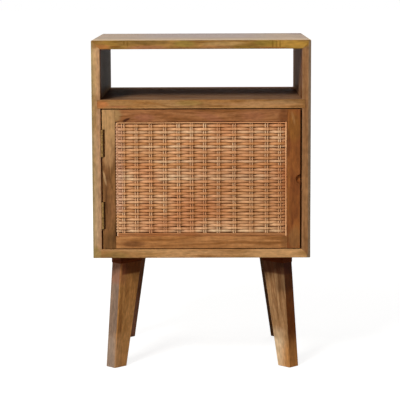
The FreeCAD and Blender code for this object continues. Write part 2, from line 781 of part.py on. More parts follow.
def build_door_frame():
    rebate = span(
        ("window_left - rebate_width", "lip_back", "window_low - rebate_width"),
        ("window_right + rebate_width", "door_back + lip_depth", "window_high + rebate_width"),
    )
    rails = {"top": "window_high", "bottom": "door_low"}

    def mortises(side):
        return [tenon(side, low, "joint_clearance") for low in rails.values()]

    hinge_stile = frame_member(("door_left", "door_low"), ("window_left", "door_high"), "z")
    keep("door_stile_hinge", cut(hinge_stile, [rebate, *mortises("left"), *hinge_recesses()]))
    free_stile = frame_member(("window_right", "door_low"), ("door_right", "door_high"), "z")
    keep("door_stile_free", cut(free_stile, [rebate, *mortises("right"), finger_notch()]))
    for name, low in rails.items():
        rail = frame_member(("window_left", low), ("window_right", f"{low} + rail_width"), "x")
        bare = join([rail, tenon("left", low), tenon("right", low)])
        screws = strike_screws("bore_clearance") if name == "top" else []
        keep(f"door_rail_{name}", cut(bare, [rebate, *screws]))

    fit = "(rebate_width - panel_clearance)"
    keep(
        "door_backing",
        span(
            (f"window_left - {fit}", "lip_back", f"window_low - {fit}"),
            (f"window_right + {fit}", "backing_back", f"window_high + {fit}"),
        ),
    )
    bead_back = "backing_back + bead_thick"
    outer_x = (f"window_left - {fit}", f"window_right + {fit}")
    inner_x = (f"{outer_x[0]} + bead_width", f"{outer_x[1]} - bead_width")
    outer_z = (f"window_low - {fit}", f"window_high + {fit}")
    inner_z = (f"{outer_z[0]} + bead_width", f"{outer_z[1]} - bead_width")
    beads = {
        "left": ((outer_x[0], outer_z[0]), (inner_x[0], outer_z[1])),
        "right": ((inner_x[1], outer_z[0]), (outer_x[1], outer_z[1])),
        "bottom": ((inner_x[0], outer_z[0]), (inner_x[1], inner_z[0])),
        "top": ((inner_x[0], inner_z[1]), (inner_x[1], outer_z[1])),
    }
    for name, ((x0, z0), (x1, z1)) in beads.items():
        keep(f"bead_{name}", span((x0, "backing_back", z0), (x1, bead_back, z1)))


# ---- woven panel ------------------------------------------------------------------------------------
# The upright canes stand in pairs. Each cross cane passes in front of one pair and behind the next, and
# its neighbour above does the opposite. A cross cane is a flat strip that bends beside every pair, so its
# plan is a wave, and the wave's places come from the pairs. Nothing here is a regular pattern, so the
# shapes are worked out from the sheet's values and not patterned.
def pair_places():
    """Where each pair of upright canes stands, from left to right."""
    first = value("window_left + selvedge")
    last = value("window_right - selvedge")
    stretch = (last - first) / sum(PAIR_SPACING)
    places = [first]
    for gap in PAIR_SPACING:
        places.append(places[-1] + gap * stretch)
    return places


def cane(radius, length, base, direction):
    """A straight round cane."""
    circle = Part.makeCircle(radius, base, direction)
    corners = circle.discretize(CANE_SIDES + 1)
    return Part.Face(Part.makePolygon([*corners[:-1], corners[0]])).extrude(direction * length)


def solid_node(label, shapes):
    """A node whose shape is worked out from the sheet's values."""
    item = doc.addObject("Part::Feature", label)
    item.Shape = Part.makeCompound(shapes)
    return keep(label, item)


def cane_wave(front_first):
    """The plan of a cross cane: its front line one way and its rear line the other, closed.

    The front line is flat over and behind every pair. The rear line only bends once there, apart from the
    outermost pairs, where the cane turns most sharply.
    """
    thick = Vector(0, value("weaver_thick"), 0)
    crest = value("lip_back - 2 * weaver_thick - 2 * stake_radius - crest_lift")
    trough = value("lip_back - weaver_thick")
    flat = Vector(value("stake_step / 2 + stake_radius + crest_margin"), 0, 0)
    side = value("weave_clearance + 2 * rim_radius")
    start = Vector(value("window_left") + side, trough, 0)
    end = Vector(value("window_right") - side, trough, 0)
    middles = [
        Vector(place_x, crest if (number % 2 == 0) == front_first else trough, 0)
        for number, place_x in enumerate(pair_places())
    ]
    front_line = [start, *(middle + reach for middle in middles for reach in (-flat, flat)), end]
    rear_line = [point + thick for point in (*front_line[:3], *middles[1:-1], *front_line[-3:])]
    return Part.Face(Part.makePolygon([*front_line, *reversed(rear_line), start]))


def cane_rows():
    """The lower edge and the height of each cross cane, from the bottom up. The top one is the tallest."""
    pitch, height, top_height = value("row_pitch"), value("weaver_height"), value("top_row_height")
    low = value("window_low + first_row")
    top_low = value("window_high - weave_clearance - 2 * rail_cane_radius") - top_height
    levels = [low + number * pitch for number in range(int((top_low - low) // pitch))]
    return [*((level, height) for level in levels), (top_low, top_height)]


def build_weave():
    low, high = value("window_low + weave_clearance"), value("window_high - weave_clearance")
    end_radius = value("rail_cane_radius")
    stake_y = value("lip_back - weaver_thick - stake_radius")
    stake_low, stake_length = low + 2 * end_radius, high - low - 4 * end_radius
    half_step = value("stake_step / 2")
    up, across = Vector(0, 0, 1), Vector(1, 0, 0)
    stakes = [
        cane(value("stake_radius"), stake_length, Vector(place_x + offset, stake_y, stake_low), up)
        for place_x in pair_places()
        for offset in (-half_step, half_step)
    ]
    solid_node("weave_stakes", stakes)

    rows = {True: [], False: []}
    for number, (level, height) in enumerate(cane_rows()):
        over_even = number % 2 == 1
        face = cane_wave(over_even)
        face.translate(Vector(0, 0, level))
        rows[over_even].append(face.extrude(Vector(0, 0, height)))
    solid_node("weavers_even", rows[True])
    solid_node("weavers_odd", rows[False])

    rim = value("rim_radius")
    edge = value("weave_clearance")
    sides = (value("window_left") + edge + rim, value("window_right") - edge - rim)
    solid_node("weave_rim_sides", [
        cane(rim, high - low, Vector(x, value("lip_back") - rim, low), up) for x in sides
    ])
    start, end = sides[0] + rim, sides[1] - rim
    solid_node("weave_rim_ends", [
        cane(end_radius, end - start, Vector(start, stake_y, z), across)
        for z in (low + end_radius, high - end_radius)
    ])


# ---- build, check and export ------------------------------------------------------------------------
build_box()
build_legs()
build_hinges()
build_catch()
build_door_frame()
build_weave()
doc.recompute()

for item in doc.Objects:
    if {"Invalid", "Error"} & set(item.State):
        raise RuntimeError(f"{item.Label} failed: {item.State}")
labels = [item.Label for item in pieces]
if len(set(labels)) != len(labels):
    raise RuntimeError("two pieces share a name")
for item in pieces:
    if item.Shape.isNull() or not item.Shape.isValid() or not item.Shape.Solids:
        raise RuntimeError(f"{item.Label} has no valid solid")

os.makedirs("parts", exist_ok=True)
for item in pieces:
    item.Shape.exportStep(os.path.join("parts", f"{item.Label}.step"))
print(f"{len(pieces)} pieces, {sum(len(item.Shape.Solids) for item in pieces)} solids")
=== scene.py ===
# %% [markdown]
# # A side table with a woven door
#
# The real thing is a small mango-wood table: a mitred box on four splayed legs, an open niche right
# through its top, and below that a cupboard whose framed door is filled with woven rattan.
# The wooden parts arrive here as finished solids. This lesson gives every one of them its own timber,
# draws the weave, the hinges and the screws afresh with bmesh operators, and lights the table softly.

# %% Load the table and a helper for the box of a part
import math
import random

import bmesh
import bpy
from mathutils import Matrix, Vector


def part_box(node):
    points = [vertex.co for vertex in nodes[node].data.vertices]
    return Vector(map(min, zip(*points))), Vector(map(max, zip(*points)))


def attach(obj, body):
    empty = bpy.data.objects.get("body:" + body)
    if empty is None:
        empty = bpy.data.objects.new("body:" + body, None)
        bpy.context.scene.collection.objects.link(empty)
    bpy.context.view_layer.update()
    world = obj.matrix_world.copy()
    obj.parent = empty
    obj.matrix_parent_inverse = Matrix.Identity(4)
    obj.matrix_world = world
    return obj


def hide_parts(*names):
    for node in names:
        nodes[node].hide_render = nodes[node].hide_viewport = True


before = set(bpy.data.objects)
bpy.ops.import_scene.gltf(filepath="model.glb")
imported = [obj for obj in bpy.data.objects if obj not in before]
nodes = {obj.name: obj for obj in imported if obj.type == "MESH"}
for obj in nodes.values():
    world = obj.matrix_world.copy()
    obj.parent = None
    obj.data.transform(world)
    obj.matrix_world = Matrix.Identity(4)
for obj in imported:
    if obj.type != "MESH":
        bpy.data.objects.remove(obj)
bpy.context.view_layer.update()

MM = 0.001

# %% [markdown]
# ## Three small helpers
# Colours are written as the sRGB hex codes that a colour picker shows, but a shader works in linear
# light, so one function turns the first into the second. Another adds a node to a material: it sets
# the node's properties, and fills each named socket with a value or a link. The third starts an empty
# material. Every finish below is built from these three.


# %% Colour and node helpers
def linear(code):
    """An sRGB hex colour as the linear RGBA that a shader wants."""
    parts = [int(code[i:i + 2], 16) / 255 for i in (1, 3, 5)]
    return (*[p / 12.92 if p <= 0.04045 else ((p + 0.055) / 1.055) ** 2.4 for p in parts], 1)


def add(tree, kind, feeds=None, stops=(), **settings):
    """Add a node. feeds fill or link its sockets, and stops are the places and colours of a ramp."""
    node = tree.nodes.new("ShaderNode" + kind)
    for name, setting in settings.items():
        setattr(node, name, setting)
    for socket, feed in (feeds or {}).items():
        if isinstance(feed, bpy.types.NodeSocket):
            tree.links.new(feed, node.inputs[socket])
        else:
            node.inputs[socket].default_value = feed
    for index, (place, code) in enumerate(stops):
        ramp = node.color_ramp.elements
        stop = ramp[index] if index < 2 else ramp.new(place)
        stop.position, stop.color = place, linear(code)
    return node


def new_material(name):
    """An empty material with its Principled shader."""
    material = bpy.data.materials.new(name)
    material.use_nodes = True
    return material, material.node_tree, material.node_tree.nodes["Principled BSDF"]


print("mid grey #808080 gives back", round(linear("#808080")[0], 3), "of the light")

# %% [markdown]
# ## The camera
# A long lens from the front, a little above the table top and very slightly to one side. A tracking
# constraint could aim it, but three angles say how a camera is held: pitch downwards, yaw to the left
# and a trace of roll. Its three axes follow from them.

# %% Camera
PITCH, YAW, ROLL = (math.radians(angle) for angle in (7.5404, -0.3721, -0.2321))
SENSOR, LENS = 36, 154.94  # millimetres
SIGHT = 60                 # how far the camera sees, in metres
camera_place = Vector((17.475, -3306.87, 734.41)) * MM
ahead = Vector((math.sin(YAW) * math.cos(PITCH), math.cos(YAW) * math.cos(PITCH), -math.sin(PITCH)))
level = Vector((math.cos(YAW), -math.sin(YAW), 0))
raised = level.cross(ahead)
right = math.cos(ROLL) * level + math.sin(ROLL) * raised
up = math.cos(ROLL) * raised - math.sin(ROLL) * level

camera = bpy.data.objects.new("camera", bpy.data.cameras.new("camera"))
bpy.context.scene.collection.objects.link(camera)
camera.data.sensor_width = SENSOR
camera.data.lens = LENS
camera.data.clip_end = SIGHT
camera.matrix_world = Matrix.Translation(camera_place) @ Matrix((right, up, -ahead)).transposed().to_4x4()
bpy.context.scene.camera = camera
print("camera", round(camera_place.length, 2), "m from the middle of the floor")

# %% [markdown]
# ## The studio
# A pale floor, a white surround and soft lamps. The key lamp stands in front to the left, so that the
# box throws a shadow on the tops of its legs. A floor lit until it is white would light the table from
# below as well. This one scatters only moderate light back up, and what the lens or a reflection sees
# of it is lifted towards white, which keeps the shadow round the feet.


# %% Floor
WHITE = (1, 1, 1, 1)
FLOOR_HALF = 30                   # from the middle to an edge, in metres
LIFT_START, LIFT_END = 0.5, 2.2   # metres from the middle between which the lift grows to full
LIFT_UNDER = 0.84                 # the lift under the table


def seen_directly(tree):
    """A factor of 1 for what the lens, a reflection or glass sees, and 0 for scattered light."""
    path = add(tree, "LightPath")
    seen = add(tree, "Math", {0: path.outputs["Is Camera Ray"], 1: path.outputs["Is Glossy Ray"]},
               operation="MAXIMUM")
    return add(tree, "Math", {0: seen.outputs[0], 1: path.outputs["Is Transmission Ray"]},
               operation="MAXIMUM").outputs[0]


material, tree, shader = new_material("painted_studio_floor")
shader.inputs["Roughness"].default_value = 0.9
shader.inputs["Specular IOR Level"].default_value = 0
shader.inputs["Emission Color"].default_value = WHITE
speckle = add(tree, "TexNoise", {"Scale": 3.0, "Detail": 2.0})
shade = add(tree, "ValToRGB", {"Fac": speckle.outputs["Fac"]}, stops=((0, "#9E9D9B"), (1, "#A3A2A0")))
tree.links.new(shade.outputs["Color"], shader.inputs["Base Color"])
far = add(tree, "VectorMath", {0: add(tree, "TexCoord").outputs["Object"]}, operation="LENGTH")
glow = add(tree, "MapRange", {"Value": far.outputs["Value"], "From Min": LIFT_START, "From Max": LIFT_END,
                              "To Min": LIFT_UNDER, "To Max": 1.0}, interpolation_type="SMOOTHSTEP")
lift = add(tree, "Math", {0: seen_directly(tree), 1: glow.outputs["Result"]}, operation="MULTIPLY")
tree.links.new(lift.outputs[0], shader.inputs["Emission Strength"])

bm = bmesh.new()
bmesh.ops.create_grid(bm, x_segments=2, y_segments=2, size=FLOOR_HALF)
floor = bpy.data.objects.new("floor", bpy.data.meshes.new("floor"))
bm.to_mesh(floor.data)
bm.free()
floor.data.materials.append(material)
bpy.context.scene.collection.objects.link(floor)
print("floor reaches", max(point.co.x for point in floor.data.vertices), "m from the middle")

# %% Surround
AMBIENT = 0.1  # the light that the white surround sends to the table
world = bpy.data.worlds.new("white_surround")
bpy.context.scene.world = world
world.use_nodes = True
background = world.node_tree.nodes["Background"]
background.inputs["Color"].default_value = WHITE
strength = add(world.node_tree, "MapRange", {"Value": seen_directly(world.node_tree), "To Min": AMBIENT})
world.node_tree.links.new(strength.outputs["Result"], background.inputs["Strength"])
print("surround at", AMBIENT, "for the table and at 1 for the lens")


# %% Lamps
def lamp(name, place, aim_height, size, watts):
    """A square soft lamp of a size in metres. It looks at a height above the middle of the floor."""
    data = bpy.data.lights.new(name, "AREA")
    data.size, data.energy = size, watts
    holder = bpy.data.objects.new(name, data)
    holder.location = place
    holder.rotation_euler = (Vector((0, 0, aim_height)) - Vector(place)).to_track_quat("-Z", "Y").to_euler()
    bpy.context.scene.collection.objects.link(holder)
    print("lamp", name, watts, "W")


lamp("key", (-1.15, -2.4, 2.1), 0.35, 0.8, 76)
lamp("left_fill", (-2.3, 0.2, 0.9), 0.3, 1.4, 14)
lamp("right_fill", (2.3, 0.6, 1.0), 0.3, 1.4, 4)
lamp("rear", (0.3, 1.3, 3.2), 0.35, 1.2, 30)

# %% [markdown]
# ## Mango wood
# Mango is a warm honey-brown hardwood with uneven darker bands, greenish and rosy patches and short
# open pores. It is planed, oiled and given a satin lacquer. A wave texture would give bands as even as
# corduroy. A real band is a place where the surface cuts a growth ring, so the shader works out the
# distance to the heart of the trunk, lets it wander slowly along the grain, and reads an uneven noise
# across it. That gives straight lines on a board sawn through the rings and long arches on a board
# sawn beside them. Wide boards are glued up from staves, and each stave gets its own piece of trunk.

# %% Measures of the wood
SIDEWAYS, UP = Vector((1, 0, 0)), Vector((0, 0, 1))
STAVE = 70 * MM                   # width of a stave in a glued-up board
TRUNK_STEP = 0.731                # metres of trunk between one seed and the next
LOT_SPREAD = (0.9, 0.06, 0.04)    # metres of trunk that the staves of one board are drawn from
WANDER = 0.03                     # metres by which a ring swings in and out along the grain
# How often each pattern repeats in a metre, along the grain and twice across it.
DRIFT = (5, 16, 16)            # slow swings, 200 mm long and 60 mm wide
HAIR = (28, 620, 620)          # fibres, 36 mm long and 1.6 mm wide
VESSEL = (150, 1700, 1700)     # pores, 7 mm long and 0.6 mm wide: coarser than real ones, so they show
FLECK = (90, 230, 230)         # mottle, 11 mm long and 4 mm wide
BAND_CHANGE = 9.0              # the bands change about every 110 mm of grain
PORE_BROWN, PORE_STRENGTH = "#3A2210", 0.35
FIBRE_LIGHT, MOTTLE_LIGHT = (0.87, 1.12), (0.82, 1.18)  # how dark and how light each makes the wood
print("a stave is", STAVE / MM, "mm wide")


# %% Grain
def laid_in_trunk(tree, where, node, run, heart, seed, staves):
    """Where each point of a part lay in the trunk, with X along the grain."""
    low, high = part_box(node)
    turn = run.rotation_difference(SIDEWAYS)
    centre = turn @ ((low + high) / 2)
    shift = Vector((seed * TRUNK_STEP, *heart)) - centre
    laid = add(tree, "Mapping", {"Vector": where, "Rotation": turn.to_euler(), "Location": shift})
    trunk = laid.outputs["Vector"]
    if staves:
        depth = add(tree, "SeparateXYZ", {"Vector": where}).outputs["Y"]
        # The half sets a stave on the middle of the board, and the seed gives each board other lots.
        count = add(tree, "Math", {0: depth, 1: 1 / STAVE, 2: 100.5 + seed}, operation="MULTIPLY_ADD")
        stave = add(tree, "Math", {0: count.outputs[0]}, operation="FLOOR").outputs[0]
        lot = add(tree, "TexWhiteNoise", {"W": stave}, noise_dimensions="1D")
        trunk = add(tree, "VectorMath", {0: lot.outputs["Color"], 1: LOT_SPREAD, 2: trunk},
                    operation="MULTIPLY_ADD").outputs["Vector"]
    return trunk


def growth(tree, trunk, ring):
    """The slow drift of the grain, and the figure that follows the growth rings."""
    slow = add(tree, "Mapping", {"Vector": trunk, "Scale": DRIFT})
    drift = add(tree, "TexNoise", {"Vector": slow.outputs["Vector"], "Scale": 1.0, "Detail": 2.0})
    across = add(tree, "VectorMath", {0: trunk, 1: (0, 1, 1)}, operation="MULTIPLY")
    reach = add(tree, "VectorMath", {0: across.outputs["Vector"]}, operation="LENGTH")
    wander = add(tree, "Math", {0: drift.outputs["Fac"], 1: WANDER, 2: reach.outputs["Value"]},
                 operation="MULTIPLY_ADD")
    rings = add(tree, "Math", {0: wander.outputs[0], 1: 1 / (ring * MM)}, operation="MULTIPLY")
    along = add(tree, "SeparateXYZ", {"Vector": trunk}).outputs["X"]
    length = add(tree, "Math", {0: along, 1: BAND_CHANGE}, operation="MULTIPLY")
    cell = add(tree, "CombineXYZ", {"X": rings.outputs[0], "Y": length.outputs[0]})
    figure = add(tree, "TexNoise", {"Vector": cell.outputs["Vector"], "Scale": 1.0, "Detail": 4.0,
                                    "Roughness": 0.6, "Distortion": 0.4})
    return drift.outputs["Fac"], figure.outputs["Fac"]


# %% [markdown]
# ## Stains, faces and films
# No part of a table is one even colour. A stain is a ragged oval that follows the figure. A face is the
# side of a part that is painted lighter, darker or greyer for the light, shade or reflection that falls
# on it. A film is an even coat inside a box, such as the painted shade on the walls of the niche.
# Painting them on a picture would be the usual way. Set out in millimetres, they stay sharp at any size
# and can be moved like any other measure.


# %% Colour laid over the grain
STAIN_DEPTH = 1000                    # a stain reaches through the whole part, in mm
RAGGED = 1.2                          # half sizes by which the figure can push out the edge of a stain
STAIN_STARTS, STAIN_FULL = 0.5, -0.1  # half sizes from the middle, after that push
FACE_STARTS, FACE_FULL = 0.8, 0.98    # cosines of the angle between the wood and the way a face looks


def within(tree, where, low, high, soft):
    """A factor of 1 inside a box given in millimetres, fading to 0 over a soft edge outside it."""
    low, high = Vector(low) * MM, Vector(high) * MM
    off = add(tree, "VectorMath", {0: where, 1: (low + high) / 2}, operation="SUBTRACT")
    off = add(tree, "VectorMath", {0: off.outputs["Vector"]}, operation="ABSOLUTE")
    over = add(tree, "VectorMath", {0: off.outputs["Vector"], 1: (high - low) / 2}, operation="SUBTRACT")
    over = add(tree, "VectorMath", {0: over.outputs["Vector"], 1: (0, 0, 0)}, operation="MAXIMUM")
    over = add(tree, "VectorMath", {0: over.outputs["Vector"]}, operation="LENGTH")
    return add(tree, "MapRange", {"Value": over.outputs["Value"], "From Max": soft * MM, "To Min": 1.0,
                                  "To Max": 0.0}, interpolation_type="SMOOTHSTEP").outputs["Result"]


def stained(tree, where, colour, figure, stains):
    """A stain is a colour, place and half sizes on the front in mm, turn in degrees, and strength."""
    for code, place, half, lean, strength in stains:
        spot = add(tree, "Mapping", {"Vector": where, "Location": Vector((place[0], 0, place[1])) * MM,
                                     "Rotation": (0, math.radians(-lean), 0),
                                     "Scale": Vector((half[0], STAIN_DEPTH, half[1])) * MM},
                   vector_type="TEXTURE")
        away = add(tree, "VectorMath", {0: spot.outputs["Vector"]}, operation="LENGTH")
        ragged = add(tree, "Math", {0: figure, 1: -RAGGED, 2: away.outputs["Value"]},
                     operation="MULTIPLY_ADD")
        inside = add(tree, "MapRange", {"Value": ragged.outputs[0], "From Min": STAIN_STARTS,
                                        "From Max": STAIN_FULL, "To Max": strength},
                     interpolation_type="SMOOTHSTEP")
        colour = add(tree, "Mix", {0: inside.outputs["Result"], 6: colour, 7: linear(code)},
                     data_type="RGBA").outputs[2]
    return colour


def painted_face_light(tree, colour, faces):
    """A face is a colour, strength and direction: painted light or shade on the wood that looks that way."""
    for code, strength, direction in faces:
        looks = add(tree, "VectorMath", {0: add(tree, "TexCoord").outputs["Normal"], 1: direction},
                    operation="DOT_PRODUCT")
        inside = add(tree, "MapRange", {"Value": looks.outputs["Value"], "From Min": FACE_STARTS,
                                        "From Max": FACE_FULL, "To Max": strength},
                     interpolation_type="SMOOTHSTEP")
        colour = add(tree, "Mix", {0: inside.outputs["Result"], 6: colour, 7: linear(code)},
                     data_type="RGBA").outputs[2]
    return colour


def filmed(tree, where, colour, films):
    """A film is a colour, strength, two corners of its box and the width of its soft edge in mm."""
    for code, strength, low, high, soft in films:
        inside = within(tree, where, low, high, soft)
        share = add(tree, "Math", {0: inside, 1: strength}, operation="MULTIPLY")
        colour = add(tree, "Mix", {0: share.outputs[0], 6: colour, 7: linear(code)},
                     data_type="RGBA").outputs[2]
    return colour


def shaded(tree, colour, noise, low_light, high_light):
    """Darken and lighten a colour by a noise."""
    light = add(tree, "MapRange", {"Value": noise.outputs["Fac"], "From Min": 0.3, "From Max": 0.7,
                                   "To Min": low_light, "To Max": high_light})
    return add(tree, "VectorMath", {0: colour, "Scale": light.outputs["Result"]},
               operation="SCALE").outputs["Vector"]


# %% [markdown]
# ## One part in mango
# The colour is built up in this order: figure, rosy patches and pores, then stains, painted light and
# shade on faces, and films. Fibres and mottle shade all of them at the end, so no patch looks painted
# on. The lacquer is a little glossier on the pale bands, and the pores stay open in it.


# %% Dressing a part
def finish(node, material):
    """Give a CAD part its finish."""
    for slot in nodes[node].material_slots:
        slot.material = material
    print(node, "is", material.name, "of", len(material.node_tree.nodes), "nodes")


# %% Mango wood
def mango(node, tones, run=SIDEWAYS, heart=(0.02, -0.09), ring=7, seed=0, staves=False, stains=(),
          films=(), faces=(), roughness=0.5, sheen=0.12):
    """Finish one part in lacquered mango wood.

    tones are dark, plain, pale and warm. run is the direction of the grain. heart is where the middle
    of the trunk lies beside the part, in metres across the grain, and ring is the width of a band in
    millimetres. roughness is that of the lacquer, and sheen is how strongly it reflects.
    """
    material, tree, shader = new_material(f"lacquered_mango_{node}")
    dark, plain, pale, warm = tones
    where = add(tree, "TexCoord").outputs["Object"]
    trunk = laid_in_trunk(tree, where, node, run, heart, seed, staves)
    drift, figure = growth(tree, trunk, ring)
    bands = add(tree, "ValToRGB", {"Fac": figure},
                stops=((0.33, dark), (0.47, plain), (0.60, pale), (0.74, plain)))
    patchy = add(tree, "MapRange", {"Value": drift, "From Min": 0.5, "From Max": 0.72, "To Max": 0.75},
                 interpolation_type="SMOOTHSTEP")
    colour = add(tree, "Mix", {0: patchy.outputs["Result"], 6: bands.outputs["Color"], 7: linear(warm)},
                 data_type="RGBA").outputs[2]
    vessels = add(tree, "Mapping", {"Vector": trunk, "Scale": VESSEL})
    holes = add(tree, "TexNoise", {"Vector": vessels.outputs["Vector"], "Scale": 1.0, "Detail": 1.0})
    pores = add(tree, "MapRange", {"Value": holes.outputs["Fac"], "From Min": 0.62, "From Max": 0.7,
                                   "To Max": PORE_STRENGTH})
    colour = add(tree, "Mix", {0: pores.outputs["Result"], 6: colour, 7: linear(PORE_BROWN)},
                 data_type="RGBA").outputs[2]
    colour = stained(tree, where, colour, figure, stains)
    colour = painted_face_light(tree, colour, faces)
    colour = filmed(tree, where, colour, films)
    hairs = add(tree, "Mapping", {"Vector": trunk, "Scale": HAIR})
    fibre = add(tree, "TexNoise", {"Vector": hairs.outputs["Vector"], "Scale": 1.0, "Detail": 3.0})
    flecks = add(tree, "Mapping", {"Vector": trunk, "Scale": FLECK})
    mottle = add(tree, "TexNoise", {"Vector": flecks.outputs["Vector"], "Scale": 1.0, "Detail": 2.0})
    colour = shaded(tree, colour, fibre, *FIBRE_LIGHT)
    colour = shaded(tree, colour, mottle, *MOTTLE_LIGHT)
    tree.links.new(colour, shader.inputs["Base Color"])
    worn = add(tree, "MapRange", {"Value": figure, "From Min": 0.3, "From Max": 0.7,
                                  "To Min": roughness + 0.08, "To Max": roughness - 0.04})
    tree.links.new(worn.outputs["Result"], shader.inputs["Roughness"])
    open_grain = add(tree, "Math", {0: pores.outputs["Result"], 1: -1.5, 2: fibre.outputs["Fac"]},
                     operation="MULTIPLY_ADD")
    relief = add(tree, "Bump", {"Height": open_grain.outputs[0], "Strength": 0.6, "Distance": 0.15 * MM})
    tree.links.new(relief.outputs["Normal"], shader.inputs["Normal"])
    shader.inputs["IOR"].default_value = 1.5
    shader.inputs["Specular IOR Level"].default_value = sheen
    finish(node, material)


# %% [markdown]
# ## The box
# Five boards. The top, shelf and floor run from side to side and the two sides run upwards, so the
# grain turns the corner at each mitre. One material for all of them would be quicker, but no two
# boards come from one plank: the left side is pale, the right one is greyer, and the floor board is
# the lightest. The front edge of the top has greenish and rosy patches and a few dark ticks.

# %% Top board
mango("top_board", ("#7B521F", "#966B32", "#B48546", "#8C7028"), heart=(0.03, -0.11), seed=1, staves=True,
      stains=(("#9C7430", (-166, 607), (16, 6), 0, 0.7), ("#B4713A", (-182, 599), (22, 7), 0, 0.7),
              ("#B1764E", (-98, 599), (42, 5), 0, 0.7), ("#7A5C2C", (-96, 608), (46, 5), 0, 0.7),
              ("#8E7C30", (-30, 606), (22, 7), 0, 0.55), ("#A8714A", (28, 599), (40, 5), 0, 0.5),
              ("#C2923A", (160, 603), (50, 10), 0, 0.65), ("#C29C66", (40, 606), (44, 5), 0, 0.45),
              ("#87741F", (116, 607), (26, 6), 0, 0.5), ("#98602C", (128, 597.5), (40, 3), 0, 0.7),
              ("#634612", (-155, 609.4), (10, 1.6), 0, 0.7), ("#7E4810", (-155, 601), (11, 2), 0, 0.7),
              ("#6E4C14", (-140, 608), (2.2, 5), 0, 0.6), ("#6E4C14", (-133.5, 606), (2, 7), 0, 0.65),
              ("#765214", (130, 604), (2, 9), 0, 0.55), ("#765214", (137, 604), (1.8, 9), 0, 0.45),
              ("#765214", (143.5, 604), (1.8, 9), 0, 0.55)),
      # the greyer top face and the grey films on it are painted reflection of the white surround
      faces=(("#AC9D90", 0.54, UP),),
      films=(("#8C8490", 0.34, (-60, 0, 611.7), (60, 190, 613), 100),       # painted reflection, greyer in the middle
             ("#CBAE82", 0.48, (-205, -171, 611.7), (205, -105, 613), 2),   # the pale front stave
             ("#857C78", 0.6, (-205, 150, 611.7), (205, 190, 613), 2),      # painted reflection, greyest at the rear edge
             ("#7A605A", 0.5, (176, 90, 611.5), (205, 190, 613), 10),
             ("#8A7457", 0.7, (196.5, -175, 590), (201, -172, 610), 2)))

# %% Side boards
# painted shade for the walls and floor of the niche
NICHE_SHADE = "#1E130C"
GAP_LIGHT = "#E2A266"  # painted light on the wood inside the gap beside the door
mango("side_left", ("#987042", "#B48A5B", "#C8A075", "#A98A5C"), UP, heart=(-0.12, 0.02), seed=2,
      staves=True, sheen=0.004,
      stains=(("#D9B07C", (-193, 560), (14, 60), 0, 0.5), ("#CDAA80", (-193, 306), (14, 84), 0, 0.65),
              ("#A98A52", (-193, 221), (14, 14), 0, 0.85), ("#A0723F", (-194, 607), (14, 12), 0, 0.9)),
      films=(("#612B05", 0.95, (-184.3, -171.5, 503), (-183, -130, 597), 1),   # painted shade at the front of the niche wall
             ("#8C8880", 0.8, (-184.3, -129, 520), (-183, 190, 585), 14),      # painted reflection on the rest of that wall
             # painted shade over that wall
             (NICHE_SHADE, 0.4, (-184.3, -129, 503), (-183, 190, 597), 1),
             (GAP_LIGHT, 0.85, (-184.3, -171.5, 229), (-183, -155, 487), 1),   # painted light in the gap beside the door
             ("#C08C6A", 0.4, (-190, -175, 211), (-184.5, -172, 596), 2),      # inner half of the edge
             ("#8D8253", 0.5, (-201, -175, 211), (-197.5, -172, 613), 2)))     # its outer corner
mango("side_right", ("#724D30", "#916845", "#AC8159", "#85644A"), UP, heart=(0.12, 0.03), seed=3,
      staves=True, sheen=0.003,
      stains=(("#B0855C", (193, 320), (14, 60), 0, 0.4), ("#7A5C40", (193, 430), (14, 70), 0, 0.4),
              ("#A0742C", (189, 608), (12, 10), 0, 0.9)),
      films=(("#84705A", 0.8, (196.5, -175, 211), (201, -172, 613), 2),
             ("#B07848", 0.45, (186, -175, 211), (194, -172, 596), 2),
             # painted shade at the front of the niche wall
             ("#794822", 0.8, (183, -171.5, 503), (184.3, -110, 597), 1),
             ("#A87951", 0.75, (183, -109, 503), (184.3, 190, 597), 1),
             # painted light in the gap beside the door
             ("#C8753A", 0.85, (183, -171.5, 229), (184.3, -155, 487), 1)))

# %% Shelf and floor board
mango("middle_shelf", ("#7F562D", "#9F7346", "#BC8E5C", "#A8713B"), heart=(0.05, -0.10), seed=4,
      staves=True, sheen=0.0008,
      stains=(("#B18351", (-150, 498), (30, 5), 0, 0.6), ("#C87A45", (-182, 496), (14, 8), 0, 0.7),
              ("#AF714C", (-152, 491), (22, 3), 0, 0.6), ("#9C7E3C", (-22, 498), (28, 6), 0, 0.45),
              # the first stain below, a thin pale line along the lower edge, is a painted highlight
              ("#CC9A62", (-130, 488.6), (70, 0.9), 0, 0.8), ("#BC8A52", (70, 490), (80, 3), 0, 0.5),
              ("#A9855A", (150, 499), (34, 5), 0, 0.5), ("#CC9664", (106, 495), (90, 6), 0, 0.5)),
      # the darker top face and the films over it are painted shade inside the niche
      faces=(("#846858", 0.5, UP),),
      films=(("#4A2A10", 0.24, (-200, -60, 503.5), (200, 190, 505), 70),       # painted shade, darker towards the back
             (NICHE_SHADE, 0.36, (-200, -150, 503.5), (-150, 190, 505), 22),
             ("#D69C62", 0.5, (-178, -175, 487), (184, -172, 489.6), 1)))      # painted highlight on the lower edge
mango("bottom_board", ("#956736", "#B88350", "#D29D67", "#BE8F54"), heart=(0.02, 0.10), seed=5,
      staves=True,
      stains=(("#E3AC74", (130, 220), (74, 14), 0, 0.6), ("#8F703A", (-160, 216), (36, 11), 0, 0.65)),
      films=(("#A98A52", 0.8, (-201, -175, 211), (-187, -172, 229), 3),
             ("#6E5B45", 0.85, (194.5, -175, 211), (201, -172, 229), 2)))
